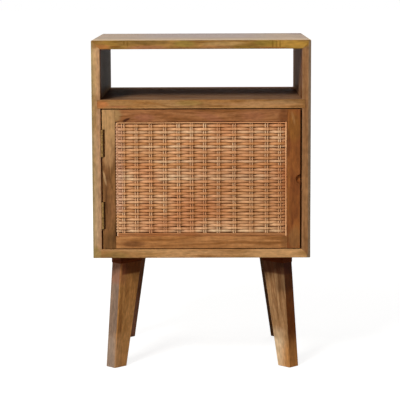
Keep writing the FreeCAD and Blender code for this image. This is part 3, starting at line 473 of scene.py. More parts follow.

# %% [markdown]
# ## The door frame
# The top rail is brown with a small dark knot near its left end. The stile on the hinge side starts
# pale at the top and turns brown, and the one on the free side is the reddest piece of the table. A
# knot could be a ring pattern of its own, but one this small is a dark leaning stain. Two films paint
# shade into the slots beside the hinges.

# %% Door frame
HINGE_STARTS = {"lower": 266.2, "upper": 399.5}  # height of the lower end of each hinge, in mm
HINGE_LENGTH = 50
# painted shade in the slots beside the hinge knuckles
SLOT_SHADE_FILMS = [("#4E2800", 0.95, (-181.4, -172.9, start), (-176.4, -169, start + HINGE_LENGTH), 0.5)
              for start in HINGE_STARTS.values()]
mango("door_rail_top", ("#78481D", "#975F35", "#AE7446", "#9F6440"), heart=(0.01, -0.05), seed=6,
      stains=(("#B08A58", (-158, 476), (14, 16), 0, 0.8), ("#9C6044", (-104, 472), (22, 8), 0, 0.6),
              ("#3A1400", (-137, 467.5), (9.5, 3.2), 22, 0.95),   # the knot
              ("#74401C", (151, 474), (11, 18), 0, 0.75), ("#A9694A", (20, 470), (36, 8), -20, 0.45),
              ("#A86A48", (94, 474), (30, 10), 0, 0.5)))
mango("door_rail_bottom", ("#895526", "#AE7340", "#C88A52", "#B9773A"), heart=(0.01, 0.04), seed=7,
      stains=(("#6A3C1A", (-127, 238), (26, 7), 0, 0.7), ("#8C5A30", (152, 242), (9, 18), 0, 0.7),
              ("#8A5226", (20, 233), (60, 2.5), 0, 0.4)))
mango("door_stile_hinge", ("#5F3C1C", "#80572E", "#97673A", "#875736"), UP, heart=(0.05, 0.03), seed=8,
      stains=(("#C09360", (-170, 462), (30, 62), 0, 0.9), ("#BE8E5E", (-170, 408), (14, 36), 4, 0.8),
              ("#C49A6A", (-177, 359), (2.6, 18), 13, 0.8), ("#5E3A18", (-166, 352), (2, 16), 13, 0.5),
              ("#64421F", (-170, 244), (14, 20), 0, 0.5)),
      # painted light in the gap beside the side board, and painted shade in the hinge slots
      films=((GAP_LIGHT, 0.85, (-182, -171.5, 229), (-181.3, -155, 487), 1), *SLOT_SHADE_FILMS))
mango("door_stile_free", ("#673515", "#8A4E25", "#A3632E", "#92481E"), UP, heart=(0.06, 0.02), seed=9,
      stains=(("#945E26", (170, 452), (16, 36), 0, 0.75), ("#A9794A", (168, 470), (3, 16), 14, 0.5),
              ("#986A3C", (170, 248), (14, 24), 0, 0.6), ("#76401C", (172, 318), (14, 40), 0, 0.4),
              ("#A8672E", (172, 394), (14, 38), 0, 0.3)))
for seed, (name, run) in enumerate((("bead_left", UP), ("bead_right", UP), ("bead_bottom", SIDEWAYS),
                                    ("bead_top", SIDEWAYS)), 10):
    mango(name, ("#74461F", "#8E5C36", "#A16C42", "#8F5A36"), run, seed=seed)

# %% [markdown]
# ## The legs
# A leg is one straight-grained piece, so its grain follows the lean of the leg. Each leg stands on the
# diagonal of its corner, and the block above it is a short offcut of the same wood. The blocks are dark
# with painted shade, the tops of the legs carry a painted shadow of the box, the rear legs are painted
# darker as shade, the outer face of the front left leg is painted grey as a reflection, the outer face
# of the front right leg is painted darker as shade, and the front feet are pale.

# %% Leg tones
LEG_TONES = {
    "front_left": ("#A26A38", "#C08549", "#D6995A", "#CA8D52"),
    "front_right": ("#7D5531", "#A0734A", "#BE9467", "#A67A4F"),
    # the rear legs are painted darker, as shade under the box
    "rear_left": ("#5F3926", "#794F35", "#8D5F47", "#7D5239"),
    "rear_right": ("#40240E", "#523218", "#603F22", "#55351B"),
}
# dark wood, darkened further by painted shade under the box
SHADED_BLOCK_TONES = ("#4D1C06", "#632C0D", "#743611", "#5C2609")
LEG_FACE_LIGHT = {
    # painted reflection greys this outer face
    "front_left": (("#756A62", 0.76, (-0.705, -0.705, 0.08)),),
    # painted shade darkens this outer face
    "front_right": (("#6D3304", 0.93, (0.705, -0.705, 0.08)),),
}
LEG_FILMS = {
    "front_left": (("#5A1F00", 0.82, (-146, -160, 177), (-95, -90, 197), 5),     # painted shadow of the box on the top of the leg
                   # painted shade on the top of the outer face
                   ("#9A5A40", 0.45, (-180, -155, 165), (-148, -100, 197), 14),
                   ("#C2AC98", 0.25, (-190, -190, -1), (-162, -90, 50), 14),
                   ("#DCA062", 0.5, (-156, -190, -1), (-130, -90, 60), 13)),     # the foot
    # painted shadow of the box on the top of the leg and on its outer face
    "front_right": (("#532210", 0.78, (100, -160, 177), (180, -90, 197), 5),
                    ("#2C1005", 0.55, (147, -160, 150), (190, -90, 197), 16),
                    ("#FCDBAF", 0.3, (120, -190, -1), (145, -120, 64), 14),
                    ("#FCDBAF", 0.68, (120, -190, -1), (145, -120, 44), 15),
                    ("#DC944E", 0.78, (176, -190, -1), (195, -100, 25), 45)),
}
print("tones for", len(LEG_TONES), "legs")

# %% Legs
LEG_LEAN = 29 / 196  # how far the middle of a leg moves outwards on its way down
LEG_TURNS = {"front_left": 225, "front_right": 315, "rear_left": 135, "rear_right": 45}  # degrees
for number, (corner, turn) in enumerate(LEG_TURNS.items()):
    outwards = Vector((math.cos(math.radians(turn)), math.sin(math.radians(turn)), 0))
    grain = (UP - LEG_LEAN * outwards).normalized()
    mango(f"leg_{corner}", LEG_TONES[corner], grain, heart=(0.04, 0.05), ring=6, seed=20 + number,
          faces=LEG_FACE_LIGHT.get(corner, ()), films=LEG_FILMS.get(corner, ()), roughness=0.46,
          sheen=0.04)
    mango(f"leg_block_{corner}", SHADED_BLOCK_TONES, outwards, seed=30 + number, sheen=0.03)

# %% [markdown]
# ## Hidden wood and sheet
# The back of the cupboard is plywood with a mango veneer. The board behind the weave is plywood stained
# a very dark brown, so that the gaps between the canes read as depth. Tongues and dowels are plain
# beech. None of them shows growth rings, so a noise drawn out along the grain is enough.


# %% Plywood and beech
STREAK = 0.03  # the width of a streak as a share of its length


def plain_wood(name, light, deep, run, grain_mm, roughness):
    """An even, fine-grained wood: a noise drawn out along the grain into streaks grain_mm wide."""
    material, tree, shader = new_material(name)
    where = add(tree, "TexCoord").outputs["Object"]
    turn = run.rotation_difference(SIDEWAYS)
    scale = (STREAK / (grain_mm * MM), 1 / (grain_mm * MM), 1 / (grain_mm * MM))
    turned = add(tree, "Mapping", {"Vector": where, "Rotation": turn.to_euler()})
    drawn = add(tree, "Mapping", {"Vector": turned.outputs["Vector"], "Scale": scale})
    grain = add(tree, "TexNoise", {"Vector": drawn.outputs["Vector"], "Scale": 1.0, "Detail": 4.0,
                                   "Distortion": 0.3})
    colour = add(tree, "ValToRGB", {"Fac": grain.outputs["Fac"]}, stops=((0.32, deep), (0.66, light)))
    tree.links.new(colour.outputs["Color"], shader.inputs["Base Color"])
    relief = add(tree, "Bump", {"Height": grain.outputs["Fac"], "Strength": 0.5, "Distance": 0.1 * MM})
    tree.links.new(relief.outputs["Normal"], shader.inputs["Normal"])
    shader.inputs["Roughness"].default_value = roughness
    return material


finish("back_panel", plain_wood("veneered_plywood", "#B08A5C", "#85602F", UP, 2.2, 0.5))
finish("door_backing", plain_wood("dark_stained_plywood", "#5A2A04", "#381803", UP, 2.0, 0.7))
beech = plain_wood("planed_beech", "#D9B68C", "#C49A6C", SIDEWAYS, 1.2, 0.55)
finish("mitre_splines", beech)
finish("leg_dowels", beech)

# %% [markdown]
# ## Metal, plastic and magnet
# The hinges and their screws are brass that has dulled to brown in patches. The other screws, the bolts
# and the inserts are zinc-plated steel, which is bluish and slightly cloudy. The striker and the pole
# plates are nickel-plated sheet, warmer and smoother. The case of the catch is moulded plastic with a
# satin skin, and its magnet is sintered ferrite, nearly black and dull. All five share one recipe,
# because what sets them apart is how metallic they are, how smooth, and how large their marks are.


# %% Hardware finishes
def hardware(name, light, deep, metallic, smooth, rough, mark_mm):
    """A metal or moulded surface: clouds mark_mm wide move its colour and its roughness together."""
    material, tree, shader = new_material(name)
    where = add(tree, "TexCoord").outputs["Object"]
    cloud = add(tree, "TexNoise", {"Vector": where, "Scale": 1 / (mark_mm * MM), "Detail": 4.0,
                                   "Roughness": 0.65})
    colour = add(tree, "ValToRGB", {"Fac": cloud.outputs["Fac"]}, stops=((0.35, deep), (0.65, light)))
    tree.links.new(colour.outputs["Color"], shader.inputs["Base Color"])
    worn = add(tree, "MapRange", {"Value": cloud.outputs["Fac"], "From Min": 0.35, "From Max": 0.65,
                                  "To Min": rough, "To Max": smooth})
    tree.links.new(worn.outputs["Result"], shader.inputs["Roughness"])
    relief = add(tree, "Bump", {"Height": cloud.outputs["Fac"], "Strength": 0.3, "Distance": 0.05 * MM})
    tree.links.new(relief.outputs["Normal"], shader.inputs["Normal"])
    shader.inputs["Metallic"].default_value = metallic
    return material


brass = hardware("aged_brass", "#987849", "#684D28", 1.0, 0.36, 0.5, 4)
zinc = hardware("zinc_plated_steel", "#C9CCCE", "#A9ADB0", 1.0, 0.28, 0.42, 3)
nickel = hardware("nickel_plated_steel", "#D2CFC8", "#BDB9B0", 1.0, 0.2, 0.34, 5)
plastic = hardware("moulded_brown_plastic", "#5B3A24", "#4C2F1C", 0.0, 0.42, 0.55, 2)
ferrite = hardware("sintered_ferrite", "#34332F", "#262523", 0.0, 0.55, 0.7, 1)
finish("leg_bolts", zinc)
finish("leg_inserts", zinc)
finish("catch_magnet", ferrite)
finish("catch_pole_plates", nickel)

# %% [markdown]
# ## Rattan
# The weave is rattan core, split and left pale. No two canes match: some are straw-coloured, some rosy.
# The hollows of the weave, the edges of each cane and the places beside each pair are painted darker,
# as shade. One tone from an image would repeat itself, so each cane carries its own tone as an
# attribute, the panel has broad rosy areas, and fine streaks run along every cane.

# %% Rattan cane
ROSY_AREAS = 14.0                          # how many rosy areas follow each other in a metre
HOLLOW_FRONT, HOLLOW_BACK = -171.5, -167   # depths in mm between which a cane is painted darker, as shade
STREAK_LIGHT = (0.78, 1.16)                # how dark and how light the fibres make a cane
PANEL_FILMS = (("#E8B698", 0.6, (-160, -180, 300), (-149, -160, 452), 9),
               ("#CC7C46", 0.36, (0, -180, 330), (150, -160, 390), 60),
               ("#CC8A50", 0.3, (-145, -180, 400), (-75, -160, 455), 30),
               # painted light: a paler lower right
               ("#FFD094", 0.22, (75, -180, 262), (150, -160, 320), 40))


def rattan(name, streak_scale):
    """Split rattan. streak_scale draws the fibres out along the cane."""
    material, tree, shader = new_material(name)
    where = add(tree, "TexCoord").outputs["Object"]
    tone = add(tree, "Attribute", attribute_name="cane_tone")
    straw = add(tree, "ValToRGB", {"Fac": tone.outputs["Fac"]},
                stops=((0.0, "#E8A468"), (0.35, "#F9BB84"), (0.7, "#FFC996"), (1.0, "#FFD8A8")))
    areas = add(tree, "TexNoise", {"Vector": where, "Scale": ROSY_AREAS, "Detail": 2.0})
    rosy = add(tree, "MapRange", {"Value": areas.outputs["Fac"], "From Min": 0.47, "From Max": 0.66,
                                  "To Max": 0.7}, interpolation_type="SMOOTHSTEP")
    colour = add(tree, "Mix", {0: rosy.outputs["Result"], 6: straw.outputs["Color"], 7: linear("#E0925C")},
                 data_type="RGBA").outputs[2]
    colour = filmed(tree, where, colour, PANEL_FILMS)
    # two attributes paint shade: on the edges of each cane and beside the pairs
    for attribute, least, most, code in (("painted_flank_shade", 0.3, 0.72, "#965210"),
                                         ("painted_bend_shade", 0.0, 0.75, "#8E5116")):
        shade_attribute = add(tree, "Attribute", attribute_name=attribute)
        shade_share = add(tree, "MapRange", {"Value": shade_attribute.outputs["Fac"], "From Min": least, "To Max": most})
        colour = add(tree, "Mix", {0: shade_share.outputs["Result"], 6: colour, 7: linear(code)},
                     data_type="RGBA").outputs[2]
    # canes further back are painted darker, as shade in the hollows
    depth = add(tree, "SeparateXYZ", {"Vector": where}).outputs["Y"]
    hollow = add(tree, "MapRange", {"Value": depth, "From Min": HOLLOW_FRONT * MM,
                                    "From Max": HOLLOW_BACK * MM, "To Max": 0.42},
                 interpolation_type="SMOOTHSTEP")
    colour = add(tree, "Mix", {0: hollow.outputs["Result"], 6: colour, 7: linear("#7A3604")},
                 data_type="RGBA").outputs[2]
    drawn = add(tree, "Mapping", {"Vector": where, "Scale": streak_scale})
    fibre = add(tree, "TexNoise", {"Vector": drawn.outputs["Vector"], "Scale": 1.0, "Detail": 3.0})
    tree.links.new(shaded(tree, colour, fibre, *STREAK_LIGHT), shader.inputs["Base Color"])
    relief = add(tree, "Bump", {"Height": fibre.outputs["Fac"], "Strength": 0.5, "Distance": 0.2 * MM})
    tree.links.new(relief.outputs["Normal"], shader.inputs["Normal"])
    shader.inputs["Roughness"].default_value = 0.55
    shader.inputs["Specular IOR Level"].default_value = 0.2
    return material


# Streaks repeat so often in a metre: about every 12 or 30 mm along a cane, and every 1 to 2 mm across.
rattan_across = rattan("split_rattan_across", (80, 500, 800))
rattan_upright = rattan("split_rattan_upright", (900, 500, 35))
print("rattan for", rattan_across.name, "and", rattan_upright.name)

# %% [markdown]
# ## Drawing a cane
# A cane is a ring of points pushed along a line. A curve with a bevel would be quicker to set up, but it
# keeps one outline from end to end and can't carry values for the shader. Each station of the line is a
# matrix: a place, the direction in which the cane runs and its half sizes there. The ring starts as a
# circle, an edge extrusion takes it from station to station, and both ends are closed. A split cane has
# a crowned face and a flat back.

# %% One cane
CANE_SIDES = 10
CANE_LAYERS = ("painted_flank_shade", "painted_bend_shade", "cane_tone")
print("a cane has", CANE_SIDES, "sides and carries", *CANE_LAYERS)


def facing(place, runs, upwards, front_back, up_down):
    """The matrix that sets a unit ring across a cane at one station."""
    runs = runs.normalized()
    front = runs.cross(upwards).normalized()
    top = front.cross(runs)
    turned = Matrix((front * front_back, top * up_down, runs)).transposed().to_4x4()
    return Matrix.Translation(place) @ turned


def draw_cane(stations, tone, flat_back=1.0, core=0.0, flanks=0.2, bends=()):
    """One closed cane through its stations.

    Its points carry its tone, a painted shade that grows from core in the middle of the face to flanks
    at the edges, and a painted shade beside its bends, one value for each station.
    """
    cane = bmesh.new()
    for name in CANE_LAYERS:
        cane.verts.layers.float.new(name)
    shade_at_flanks, shade_at_bends, toned = (cane.verts.layers.float[name] for name in CANE_LAYERS)
    bends = bends or [0.0] * len(stations)
    ring = bmesh.ops.create_circle(cane, cap_ends=True, segments=CANE_SIDES, radius=1)["verts"]
    for point in ring:
        point[shade_at_flanks] = core + (flanks - core) * abs(point.co.y)
        point[shade_at_bends] = bends[0]
        point[toned] = tone
        if point.co.x < 0:
            point.co.x *= flat_back
    rim = list(cane.edges)
    cane.transform(stations[0])
    for number, (before, after) in enumerate(zip(stations, stations[1:]), 1):
        grown = bmesh.ops.extrude_edge_only(cane, edges=rim)["geom"]
        rim = [item for item in grown if isinstance(item, bmesh.types.BMEdge) and item.is_boundary]
        moved = [item for item in grown if isinstance(item, bmesh.types.BMVert)]
        bmesh.ops.transform(cane, matrix=after @ before.inverted(), verts=moved)
        for point in moved:
            point[shade_at_bends] = bends[number]
    bmesh.ops.contextual_create(cane, geom=rim)
    mesh = bpy.data.meshes.new("cane")
    cane.to_mesh(mesh)
    cane.free()
    return mesh


# %% Finished pieces
def gathered(meshes):
    """Several meshes in one bmesh."""
    bm = bmesh.new()
    for mesh in meshes:
        bm.from_mesh(mesh)
        bpy.data.meshes.remove(mesh)
    return bm


def piece(name, bm, coat, body, slot, *stands_for, crease=40):
    """A finished piece: normals outwards, its coat, the body it rides on and the parts it stands for."""
    bmesh.ops.recalc_face_normals(bm, faces=bm.faces)
    mesh = bpy.data.meshes.new(name)
    bm.to_mesh(mesh)
    bm.free()
    mesh.shade_smooth()
    mesh.set_sharp_from_angle(angle=math.radians(crease))
    made = bpy.data.objects.new(name, mesh)
    bpy.context.scene.collection.objects.link(made)
    made.data.materials.append(coat)
    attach(made, body)
    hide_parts(*stands_for)
    print(name, len(mesh.polygons), "faces")


# %% [markdown]
# ## Upright canes
# Twelve pairs of thin round canes stand side by side in the window of the door. Copies of one straight
# rod would look like wire. These are drawn one by one, and they lean and swell slightly, because the
# weaver bent a living material.

# %% Upright canes
window_low, window_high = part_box("bead_bottom")[1].z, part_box("bead_top")[0].z
window_left, window_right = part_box("bead_left")[1].x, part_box("bead_right")[0].x
PAIRS = [x * MM for x in (-143.5, -119.4, -93.4, -67.3, -42.2, -18.2, 5.9, 30.9, 60.0, 91.1, 119.1, 143.2)]
PAIR_HALF_STEP = 1.85 * MM            # from the middle of a pair to each of its canes
UPRIGHT_Y = -169.4 * MM
UPRIGHT_RADIUS, UPRIGHT_SWAY, UPRIGHT_GAP = 1.05 * MM, 0.35 * MM, 1.2 * MM
UPRIGHT_STEPS = 14
SWAY_TURN, SWELL_TURN = 4.4, 11       # how far each wave turns over the length of a cane, in radians
SWELL = 0.05                          # how much a swelling adds to the radius, as a share
FRONT = Vector((0, -1, 0))
weaver = random.Random(7)


def upright(x, y, end_gap, radius, sway, tone):
    """A standing round cane with a slow sway and slight swellings, just short of the window's ends."""
    low, high = window_low + end_gap, window_high - end_gap
    phase, swell = weaver.uniform(0, math.tau), weaver.uniform(0, math.tau)
    stations = []
    for step in range(UPRIGHT_STEPS + 1):
        share = step / UPRIGHT_STEPS
        side = sway * math.sin(phase + SWAY_TURN * share)
        girth = radius * (1 + SWELL * math.sin(swell + SWELL_TURN * share))
        place = Vector((x + side, y, low + share * (high - low)))
        stations.append(facing(place, UP, FRONT, girth, girth))
    return draw_cane(stations, tone)


uprights = [upright(x + side * PAIR_HALF_STEP, UPRIGHT_Y, UPRIGHT_GAP, UPRIGHT_RADIUS, UPRIGHT_SWAY,
                    weaver.uniform(0.75, 1.0)) for x in PAIRS for side in (-1, 1)]
piece("upright_canes", gathered(uprights), rattan_upright, "door", "cane", "weave_stakes")

# %% [markdown]
# ## Cross canes
# A cross cane passes in front of one pair and behind the next, and its neighbour does the opposite, so
# the rows are made in two lots. A woven texture on a flat board would look right only from the front,
# so every row is a cane of its own that swings over in a smooth wave between two pairs. The topmost row
# is thicker. Rows are not quite level and not quite equal, and the hand of the weaver shows in that.

# %% Measures of the rows
TOP_ROW, FIRST_ROW, LAST_ROW = 456.2 * MM, 449.7 * MM, 261.7 * MM
ROWS = 37
CREST_Y, TROUGH_Y = -170.85 * MM, -167.5 * MM
START_Y = CREST_Y + 0.6 * MM               # a row starts a little behind its crests
CROWN = 0.9 * MM                           # half the thickness of a cane, front to back
TOP_HALF_HEIGHT, HALF_HEIGHT = 2.9 * MM, 2.8 * MM
BESIDE = (0, 1.85, 4.6, 7.5)               # stations right of a pair, in mm, and their mirror left of it
BEND_SHADING = (0.55, 0.0, 0.8, 0.1)       # how much painted shade the cane gets at each of them
LEFT_BEND_SHADING = (0.35, 0.0)                 # the same at 4.6 and 1.85 mm left of a pair
BETWEEN_STAKES = 0.35 * MM                 # how far the cane sinks between the two stakes
FULL_GAP = 20 * MM                         # pairs closer than this squeeze the stations together
LIFT_RATE, TWIST_RATE = 38, 60             # how fast a row rises and falls, and twists, in radians a metre
TWIST = 0.12                               # how far it twists, in radians
LEFT_GAP, RIGHT_GAP = 0.2 * MM, 3.8 * MM   # from the sides of the window to the ends of a row
ROW_END = 0.6                              # size of a row at its two ends, as a share
FLAT_BACK = 0.45                           # how far its flat side stands out, as a share of its crown
# Rows differ in level and in how high they rise and fall, both in mm, and in height, as a share.
LEVEL_SPREAD, LIFT_SPREAD, HEIGHT_SPREAD = (-0.4, 0.4), (0.12, 0.5), (0.93, 1.05)
print(ROWS, "rows,", round((FIRST_ROW - LAST_ROW) / (ROWS - 2) / MM, 2), "mm apart")


# %% Cross canes
def row_level(number):
    """Height of the middle of a row, counted from the top."""
    if number == 0:
        return TOP_ROW
    return FIRST_ROW + (LAST_ROW - FIRST_ROW) * (number - 1) / (ROWS - 2)


def wave(over_first, level, phase, lift):
    """The line of a row, with crests and troughs at the pairs, and the painted shade that it gets there."""
    turns = [window_left + LEFT_GAP, *PAIRS, window_right - RIGHT_GAP]
    depths = [CREST_Y if (index % 2 == 0) == over_first else TROUGH_Y for index in range(len(PAIRS))]
    depths = [START_Y, *depths, TROUGH_Y]
    line, bends = [], []
    for index in range(len(turns) - 1):
        gap = turns[index + 1] - turns[index]
        ease = min(1, gap / FULL_GAP)
        reaches = [reach * MM * ease for reach in BESIDE]
        reaches += [gap / 2, *(gap - reach * MM * ease for reach in BESIDE[:0:-1])]
        for station, reach in enumerate(reaches):
            x = turns[index] + reach
            swing = 0.5 - 0.5 * math.cos(math.pi * reach / gap)
            y = depths[index] + swing * (depths[index + 1] - depths[index])
            if station == 0 and depths[index] == CREST_Y:
                y += BETWEEN_STAKES
            line.append(Vector((x, y, level + lift * math.sin(phase + LIFT_RATE * x))))
        bends += [*BEND_SHADING, 0.0, 0.0, *LEFT_BEND_SHADING]
    line.append(Vector((turns[-1], depths[-1], level)))
    bends.append(0.0)
    return line, bends


def cross_cane(number):
    """One row of the weave."""
    level = row_level(number) + weaver.uniform(*LEVEL_SPREAD) * MM
    half = TOP_HALF_HEIGHT if number == 0 else HALF_HEIGHT * weaver.uniform(*HEIGHT_SPREAD)
    phase, lift = weaver.uniform(0, math.tau), weaver.uniform(*LIFT_SPREAD) * MM
    line, bends = wave(number % 2 == 1, level, phase, lift)
    stations = []
    for index, place in enumerate(line):
        runs = line[min(index + 1, len(line) - 1)] - line[max(index - 1, 0)]
        tilt = Matrix.Rotation(TWIST * math.sin(phase + TWIST_RATE * place.x), 3, "X")
        end = ROW_END if index in (0, len(line) - 1) else 1
        stations.append(facing(place, runs, tilt @ UP, CROWN * end, half * end))
    tone = {0: 0.25, ROWS - 1: 1.0}.get(number, weaver.random())
    return draw_cane(stations, tone, flat_back=FLAT_BACK, flanks=1.0, bends=bends)


for first, name, node in ((1, "cross_canes_over_even_pairs", "weavers_even"),
                          (0, "cross_canes_over_odd_pairs", "weavers_odd")):
    rows = [cross_cane(number) for number in range(first, ROWS, 2)]
    piece(name, gathered(rows), rattan_across, "door", "cane", node)

# %% [markdown]
# ## Border canes
# A round cane stands at each side of the weave, one lies along the top and two lie along the bottom.
# They hide the cut ends of the rows. One closed loop round the window would be quicker, but a weaver
# cuts each border to length, so these are five canes that meet in the corners.

# %% Border canes
BORDER_GAP = 0.6 * MM
edge_left = upright(window_left + 3.2 * MM, -168.8 * MM, BORDER_GAP, radius=1.95 * MM, sway=0.2 * MM,
                    tone=0.75)
edge_right = upright(window_right - 2.1 * MM, -170.9 * MM, BORDER_GAP, radius=1.7 * MM, sway=0.15 * MM,
                     tone=0.4)
piece("side_border_canes", gathered([edge_left, edge_right]), rattan_upright, "door", "cane",
      "weave_rim_sides")

END_INSET = 4                   # from the side of the window to the end of a lying cane, in mm
END_LIFT, END_TURN = 0.15, 17   # how far it rises and falls, in mm, and the turn of that wave in radians
END_STEPS = 24
END_CANES = ((window_high - 1.9 * MM, -171.0, 1.3, 0.1),   # height, depth, radius and painted shade
             (window_low + 1.7 * MM, -170.6, 1.5, 1.0),
             (window_low + 4.6 * MM, -170.2, 1.5, 0.9))
end_run = (window_right - window_left) / MM - 2 * END_INSET


def lying(level, y, radius, core):
    """A cane that lies along the top or the bottom of the weave and rises and falls slightly."""
    stations = []
    for step in range(END_STEPS + 1):
        share = step / END_STEPS
        place = Vector((window_left + (END_INSET + share * end_run) * MM, y * MM,
                        level + END_LIFT * MM * math.sin(END_TURN * share)))
        stations.append(facing(place, SIDEWAYS, UP, radius * MM, radius * MM))
    return draw_cane(stations, 0.3, core=core, flanks=1.0)


piece("end_border_canes", gathered([lying(*cane) for cane in END_CANES]), rattan_across, "door", "cane",
      "weave_rim_ends")

# %% [markdown]
# ## Hinges
# A butt hinge is two leaves let into the wood, with knuckles that take turns along one pin. Round parts
# are turned as on a lathe: half an outline is spun about its axis, which gives them their eased ends in
# one go. The side board carries three knuckles of each hinge, and the door carries two, which sit
# between them and turn about the pin.


# %% Turned and sawn shapes
def turned(outline, sides=28):
    """Spin an outline of radius and height about Z and close it."""
    bm = bmesh.new()
    points = [bm.verts.new((radius * MM, 0, height * MM)) for radius, height in outline]
    edges = [bm.edges.new(pair) for pair in zip(points, points[1:])]
    bmesh.ops.spin(bm, geom=points + edges, cent=(0, 0, 0), axis=(0, 0, 1), angle=math.tau, steps=sides,
                   use_merge=True)
    bmesh.ops.remove_doubles(bm, verts=bm.verts, dist=1e-7)
    return bm


def block(low, high, ease=0.0, segments=2):
    """A block between two corners with eased edges."""
    bm = bmesh.new()
    bmesh.ops.create_cube(bm, size=1)
    low, high = Vector(low) * MM, Vector(high) * MM
    bmesh.ops.scale(bm, vec=high - low, verts=bm.verts)
    bmesh.ops.translate(bm, vec=(low + high) / 2, verts=bm.verts)
    if ease:
        bmesh.ops.bevel(bm, geom=bm.edges, offset=ease * MM, affect="EDGES", segments=segments, profile=0.5,
                        material=-1)
    return bm


def push_in(bm, faces, offset):
    """Push a patch of faces into its block, which leaves an open hollow."""
    sunk = bmesh.ops.extrude_face_region(bm, geom=faces)["geom"]
    bmesh.ops.translate(bm, vec=offset, verts=[item for item in sunk if isinstance(item, bmesh.types.BMVert)])
    bmesh.ops.delete(bm, geom=[face for face in faces if face.is_valid], context="FACES_ONLY")


def pour(into, other):
    """Add one bmesh to another."""
    mesh = bpy.data.meshes.new("part")
    other.to_mesh(mesh)
    other.free()
    into.from_mesh(mesh)
    bpy.data.meshes.remove(mesh)


sample = block((0, 0, 0), (10, 10, 10), ease=1)
print("a cube with eased edges has", len(sample.faces), "faces")
sample.free()

# %% Hinges
AXIS_X, AXIS_Y = -181.65, -174.225           # millimetres, as all that follows
KNUCKLE_RADIUS, BORE_RADIUS, PIN_RADIUS, PIN_HEAD = 2.35, 1.1, 1.0, 1.3
KNUCKLE, KNUCKLE_GAP, KNUCKLE_EASE = 9.76, 0.3, 0.3
LEAF_NEAR = 1.25                             # from the axis to the bare face of a leaf
LEAF_FRONT, LEAF_BACK, LEAF_EASE = -171.475, -157.225, 0.25
ROOT = 0.5                                   # how far the root of a knuckle reaches into its leaf


def hinge_leaf(start, side, numbers):
    """A leaf with its knuckles. side is -1 for the leaf on the side board and 1 for the one on the door."""
    near, far = sorted((AXIS_X + side * LEAF_NEAR, AXIS_X + side * KNUCKLE_RADIUS))
    leaf = block((near, LEAF_FRONT, start), (far, LEAF_BACK, start + HINGE_LENGTH), LEAF_EASE)
    for number in numbers:
        low = start + number * (KNUCKLE + KNUCKLE_GAP)
        high = low + KNUCKLE
        pour(leaf, block((near, AXIS_Y, low), (far, LEAF_FRONT + ROOT, high)))
        shoulder = KNUCKLE_RADIUS - KNUCKLE_EASE
        barrel = turned([(BORE_RADIUS, low), (shoulder, low), (KNUCKLE_RADIUS, low + KNUCKLE_EASE),
                         (KNUCKLE_RADIUS, high - KNUCKLE_EASE), (shoulder, high), (BORE_RADIUS, high),
                         (BORE_RADIUS, low)])
        bmesh.ops.translate(barrel, vec=Vector((AXIS_X, AXIS_Y, 0)) * MM, verts=barrel.verts)
        pour(leaf, barrel)
    return leaf


for level, start in HINGE_STARTS.items():
    piece(f"hinge_{level}_leaf_on_side", hinge_leaf(start, -1, (0, 2, 4)), brass, "carcass", "hinge_brass",
          f"hinge_{level}_side_leaf")
    piece(f"hinge_{level}_leaf_on_door", hinge_leaf(start, 1, (1, 3)), brass, "door", "hinge_brass",
          f"hinge_{level}_door_leaf")
    end = start + HINGE_LENGTH
    # Both ends of the pin are hammered to a low dome, which keeps it in the knuckles.
    pin = turned([(0, start - 0.35), (0.8, start - 0.25), (PIN_HEAD, start), (PIN_RADIUS, start + 0.02),
                  (PIN_RADIUS, end - 0.02), (PIN_HEAD, end), (0.8, end + 0.25), (0, end + 0.35)])
    bmesh.ops.translate(pin, vec=Vector((AXIS_X, AXIS_Y, 0)) * MM, verts=pin.verts)
    piece(f"hinge_{level}_round_pin", pin, brass, "carcass", "hinge_brass", f"hinge_{level}_pin")

# %% [markdown]
# ## Screws
# Every screw is countersunk and has a cross recess. Its thread is buried in wood, so the shank stays
# smooth. The head is turned with the shank, its face is cut by eight planes, and the cells of the cross
# are pushed down into the head, which keeps the mesh small and closed.

# %% One screw
RECESS = 0.7                        # depth of the cross, in mm
SLIT, ARM = 0.14, 0.6               # half the width and half the length of the cross, as shares of the head
SMALL_SCREW = (2.2, 1.1, 1.1, 14)   # radius of the head and of the shank, depth of the head, and length
HINGE_SCREW = (2.4, 1.3, 1.1, 12)
FIRST_TURN, NEXT_TURN = 0.3, 0.7    # how far the first cross is turned, and each after it, in radians


def screw(head, shank, sink, length):
    """A countersunk screw that points down -Z, with the face of its head at the origin, in millimetres."""
    bm = turned([(0, 0), (head, 0), (shank, -sink), (shank, 2 * shank - length), (0, -length)], 16)
    half, arm = head * SLIT * MM, head * ARM * MM

    def face_parts():
        """The flat face of the head, and all that the planes have to cut in it."""
        faces = [face for face in bm.faces if face.calc_center_median().z > -0.01 * MM]
        edges = {edge for face in faces for edge in face.edges}
        return faces, [*faces, *edges, *{point for edge in edges for point in edge.verts}]

    for axis in (Vector((1, 0, 0)), Vector((0, 1, 0))):
        for offset in (-arm, -half, half, arm):
            bmesh.ops.bisect_plane(bm, geom=face_parts()[1], plane_co=axis * offset, plane_no=axis)
    cross = []
    for face in face_parts()[0]:
        x, y = (abs(value) for value in face.calc_center_median().xy)
        if max(x, y) < arm and min(x, y) < half:
            cross.append(face)
    push_in(bm, cross, (0, 0, -RECESS * MM))
    return bm


def screws(name, places, points, size, coat, body, slot, node):
    """A set of screws that all point the same way, each turned a little further than the last."""
    turn = Vector((0, 0, -1)).rotation_difference(Vector(points)).to_matrix().to_4x4()
    bm = bmesh.new()
    for number, place in enumerate(places):
        one = screw(*size)
        spin = Matrix.Rotation(FIRST_TURN + NEXT_TURN * number, 4, "Z")
        one.transform(Matrix.Translation(Vector(place) * MM) @ turn @ spin)
        pour(bm, one)
    piece(name, bm, coat, body, slot, node, crease=30)


sample = screw(*SMALL_SCREW)
print("a screw has", len(sample.faces), "faces and", sum(edge.is_boundary for edge in sample.edges),
      "open edges")
sample.free()

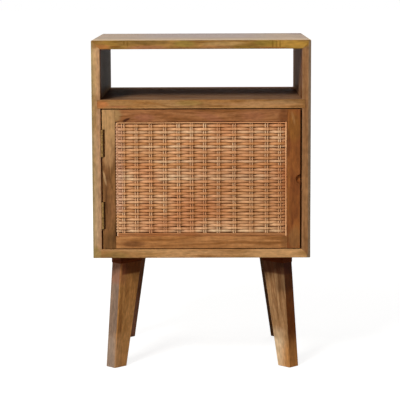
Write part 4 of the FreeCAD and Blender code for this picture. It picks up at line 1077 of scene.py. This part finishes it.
# %% Screws of the back and the hinges
PANEL_X, PANEL_LEVELS, PANEL_MIDDLE_LEVELS = 187, (256.4, 358, 459.6), (491, 225)
back_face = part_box("back_panel")[1].y / MM
panel_places = [(x, back_face, z) for x in (-PANEL_X, PANEL_X) for z in PANEL_LEVELS]
panel_places += [(0, back_face, z) for z in PANEL_MIDDLE_LEVELS]
screws("back_panel_fixings", panel_places, (0, -1, 0), SMALL_SCREW, zinc, "carcass", "fixing_steel",
       "back_panel_screws")

LEAF_SCREW_Y, LEAF_SCREW_STEPS = -163.225, (8, 42)
leaf_levels = [start + step for start in HINGE_STARTS.values() for step in LEAF_SCREW_STEPS]
for owner, side, body in (("side", -1, "carcass"), ("door", 1, "door")):
    screws(f"hinge_fixings_on_{owner}", [(AXIS_X + side * LEAF_NEAR, LEAF_SCREW_Y, z)
                                         for z in leaf_levels], (side, 0, 0), HINGE_SCREW, brass, body,
           "hinge_brass", f"hinge_{owner}_screws")

# %% [markdown]
# ## The catch
# A magnetic catch is screwed up into the shelf, and a steel striker on the back of the door meets it.
# The case is a bevelled block with a flange; its front is inset and pushed in to leave the mouth in
# which the magnet sits between its pole plates. A boolean cut would do the same, but an inset leaves
# no stray edges behind.

# %% Catch
# Millimetres. The flange stands out by an ear at each side and starts a little behind the case's front.
EAR, FLANGE, FLANGE_BACK = 9, 3, 1
MOUTH_WALL, MOUTH_DEPTH = 1.6, 1.2
CATCH_SCREW_X, CATCH_SCREW_Y = 15.5, 7
case_low, case_high = (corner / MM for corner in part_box("catch_case"))
case = block((case_low.x + EAR, case_low.y, case_low.z), (case_high.x - EAR, case_high.y, case_high.z),
             ease=0.8, segments=3)
# The mouth goes into the one large face that looks forwards, and not into the bevels beside it.
mouth = [face for face in case.faces if face.normal.y < -0.99 and face.calc_area() > 100 * MM * MM]
bmesh.ops.inset_region(case, faces=mouth, thickness=MOUTH_WALL * MM, use_even_offset=True)
push_in(case, mouth, (0, MOUTH_DEPTH * MM, 0))
pour(case, block((case_low.x, case_low.y + FLANGE_BACK, case_high.z - FLANGE), case_high, ease=0.9,
                 segments=3))
piece("catch_moulded_case", case, plastic, "carcass", "catch_plastic", "catch_case")
catch_middle = (case_low.x + case_high.x) / 2
screws("catch_fixings", [(catch_middle + side * CATCH_SCREW_X, case_low.y + CATCH_SCREW_Y,
                          case_high.z - FLANGE) for side in (-1, 1)],
       (0, 0, 1), SMALL_SCREW, zinc, "carcass", "fixing_steel", "catch_screws")

# %% Striker
STRIKER_CORNER, STRIKER_SCREW_X = 2, 13
strike_low, strike_high = (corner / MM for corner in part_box("strike_plate"))
striker = block(strike_low, strike_high)
corners = [edge for edge in striker.edges if abs((edge.verts[0].co - edge.verts[1].co).y) > 0.5 * MM]
bmesh.ops.bevel(striker, geom=corners, offset=STRIKER_CORNER * MM, affect="EDGES", segments=5, profile=0.5,
                material=-1)
piece("striker_plate", striker, nickel, "door", "plate_steel", "strike_plate")
strike_middle = (strike_low + strike_high) / 2
screws("striker_fixings", [(strike_middle.x + side * STRIKER_SCREW_X, strike_high.y, strike_middle.z)
                           for side in (-1, 1)],
       (0, -1, 0), SMALL_SCREW, zinc, "door", "fixing_steel", "strike_screws")

# %% Finish
bpy.context.scene.view_settings.view_transform = "Standard"
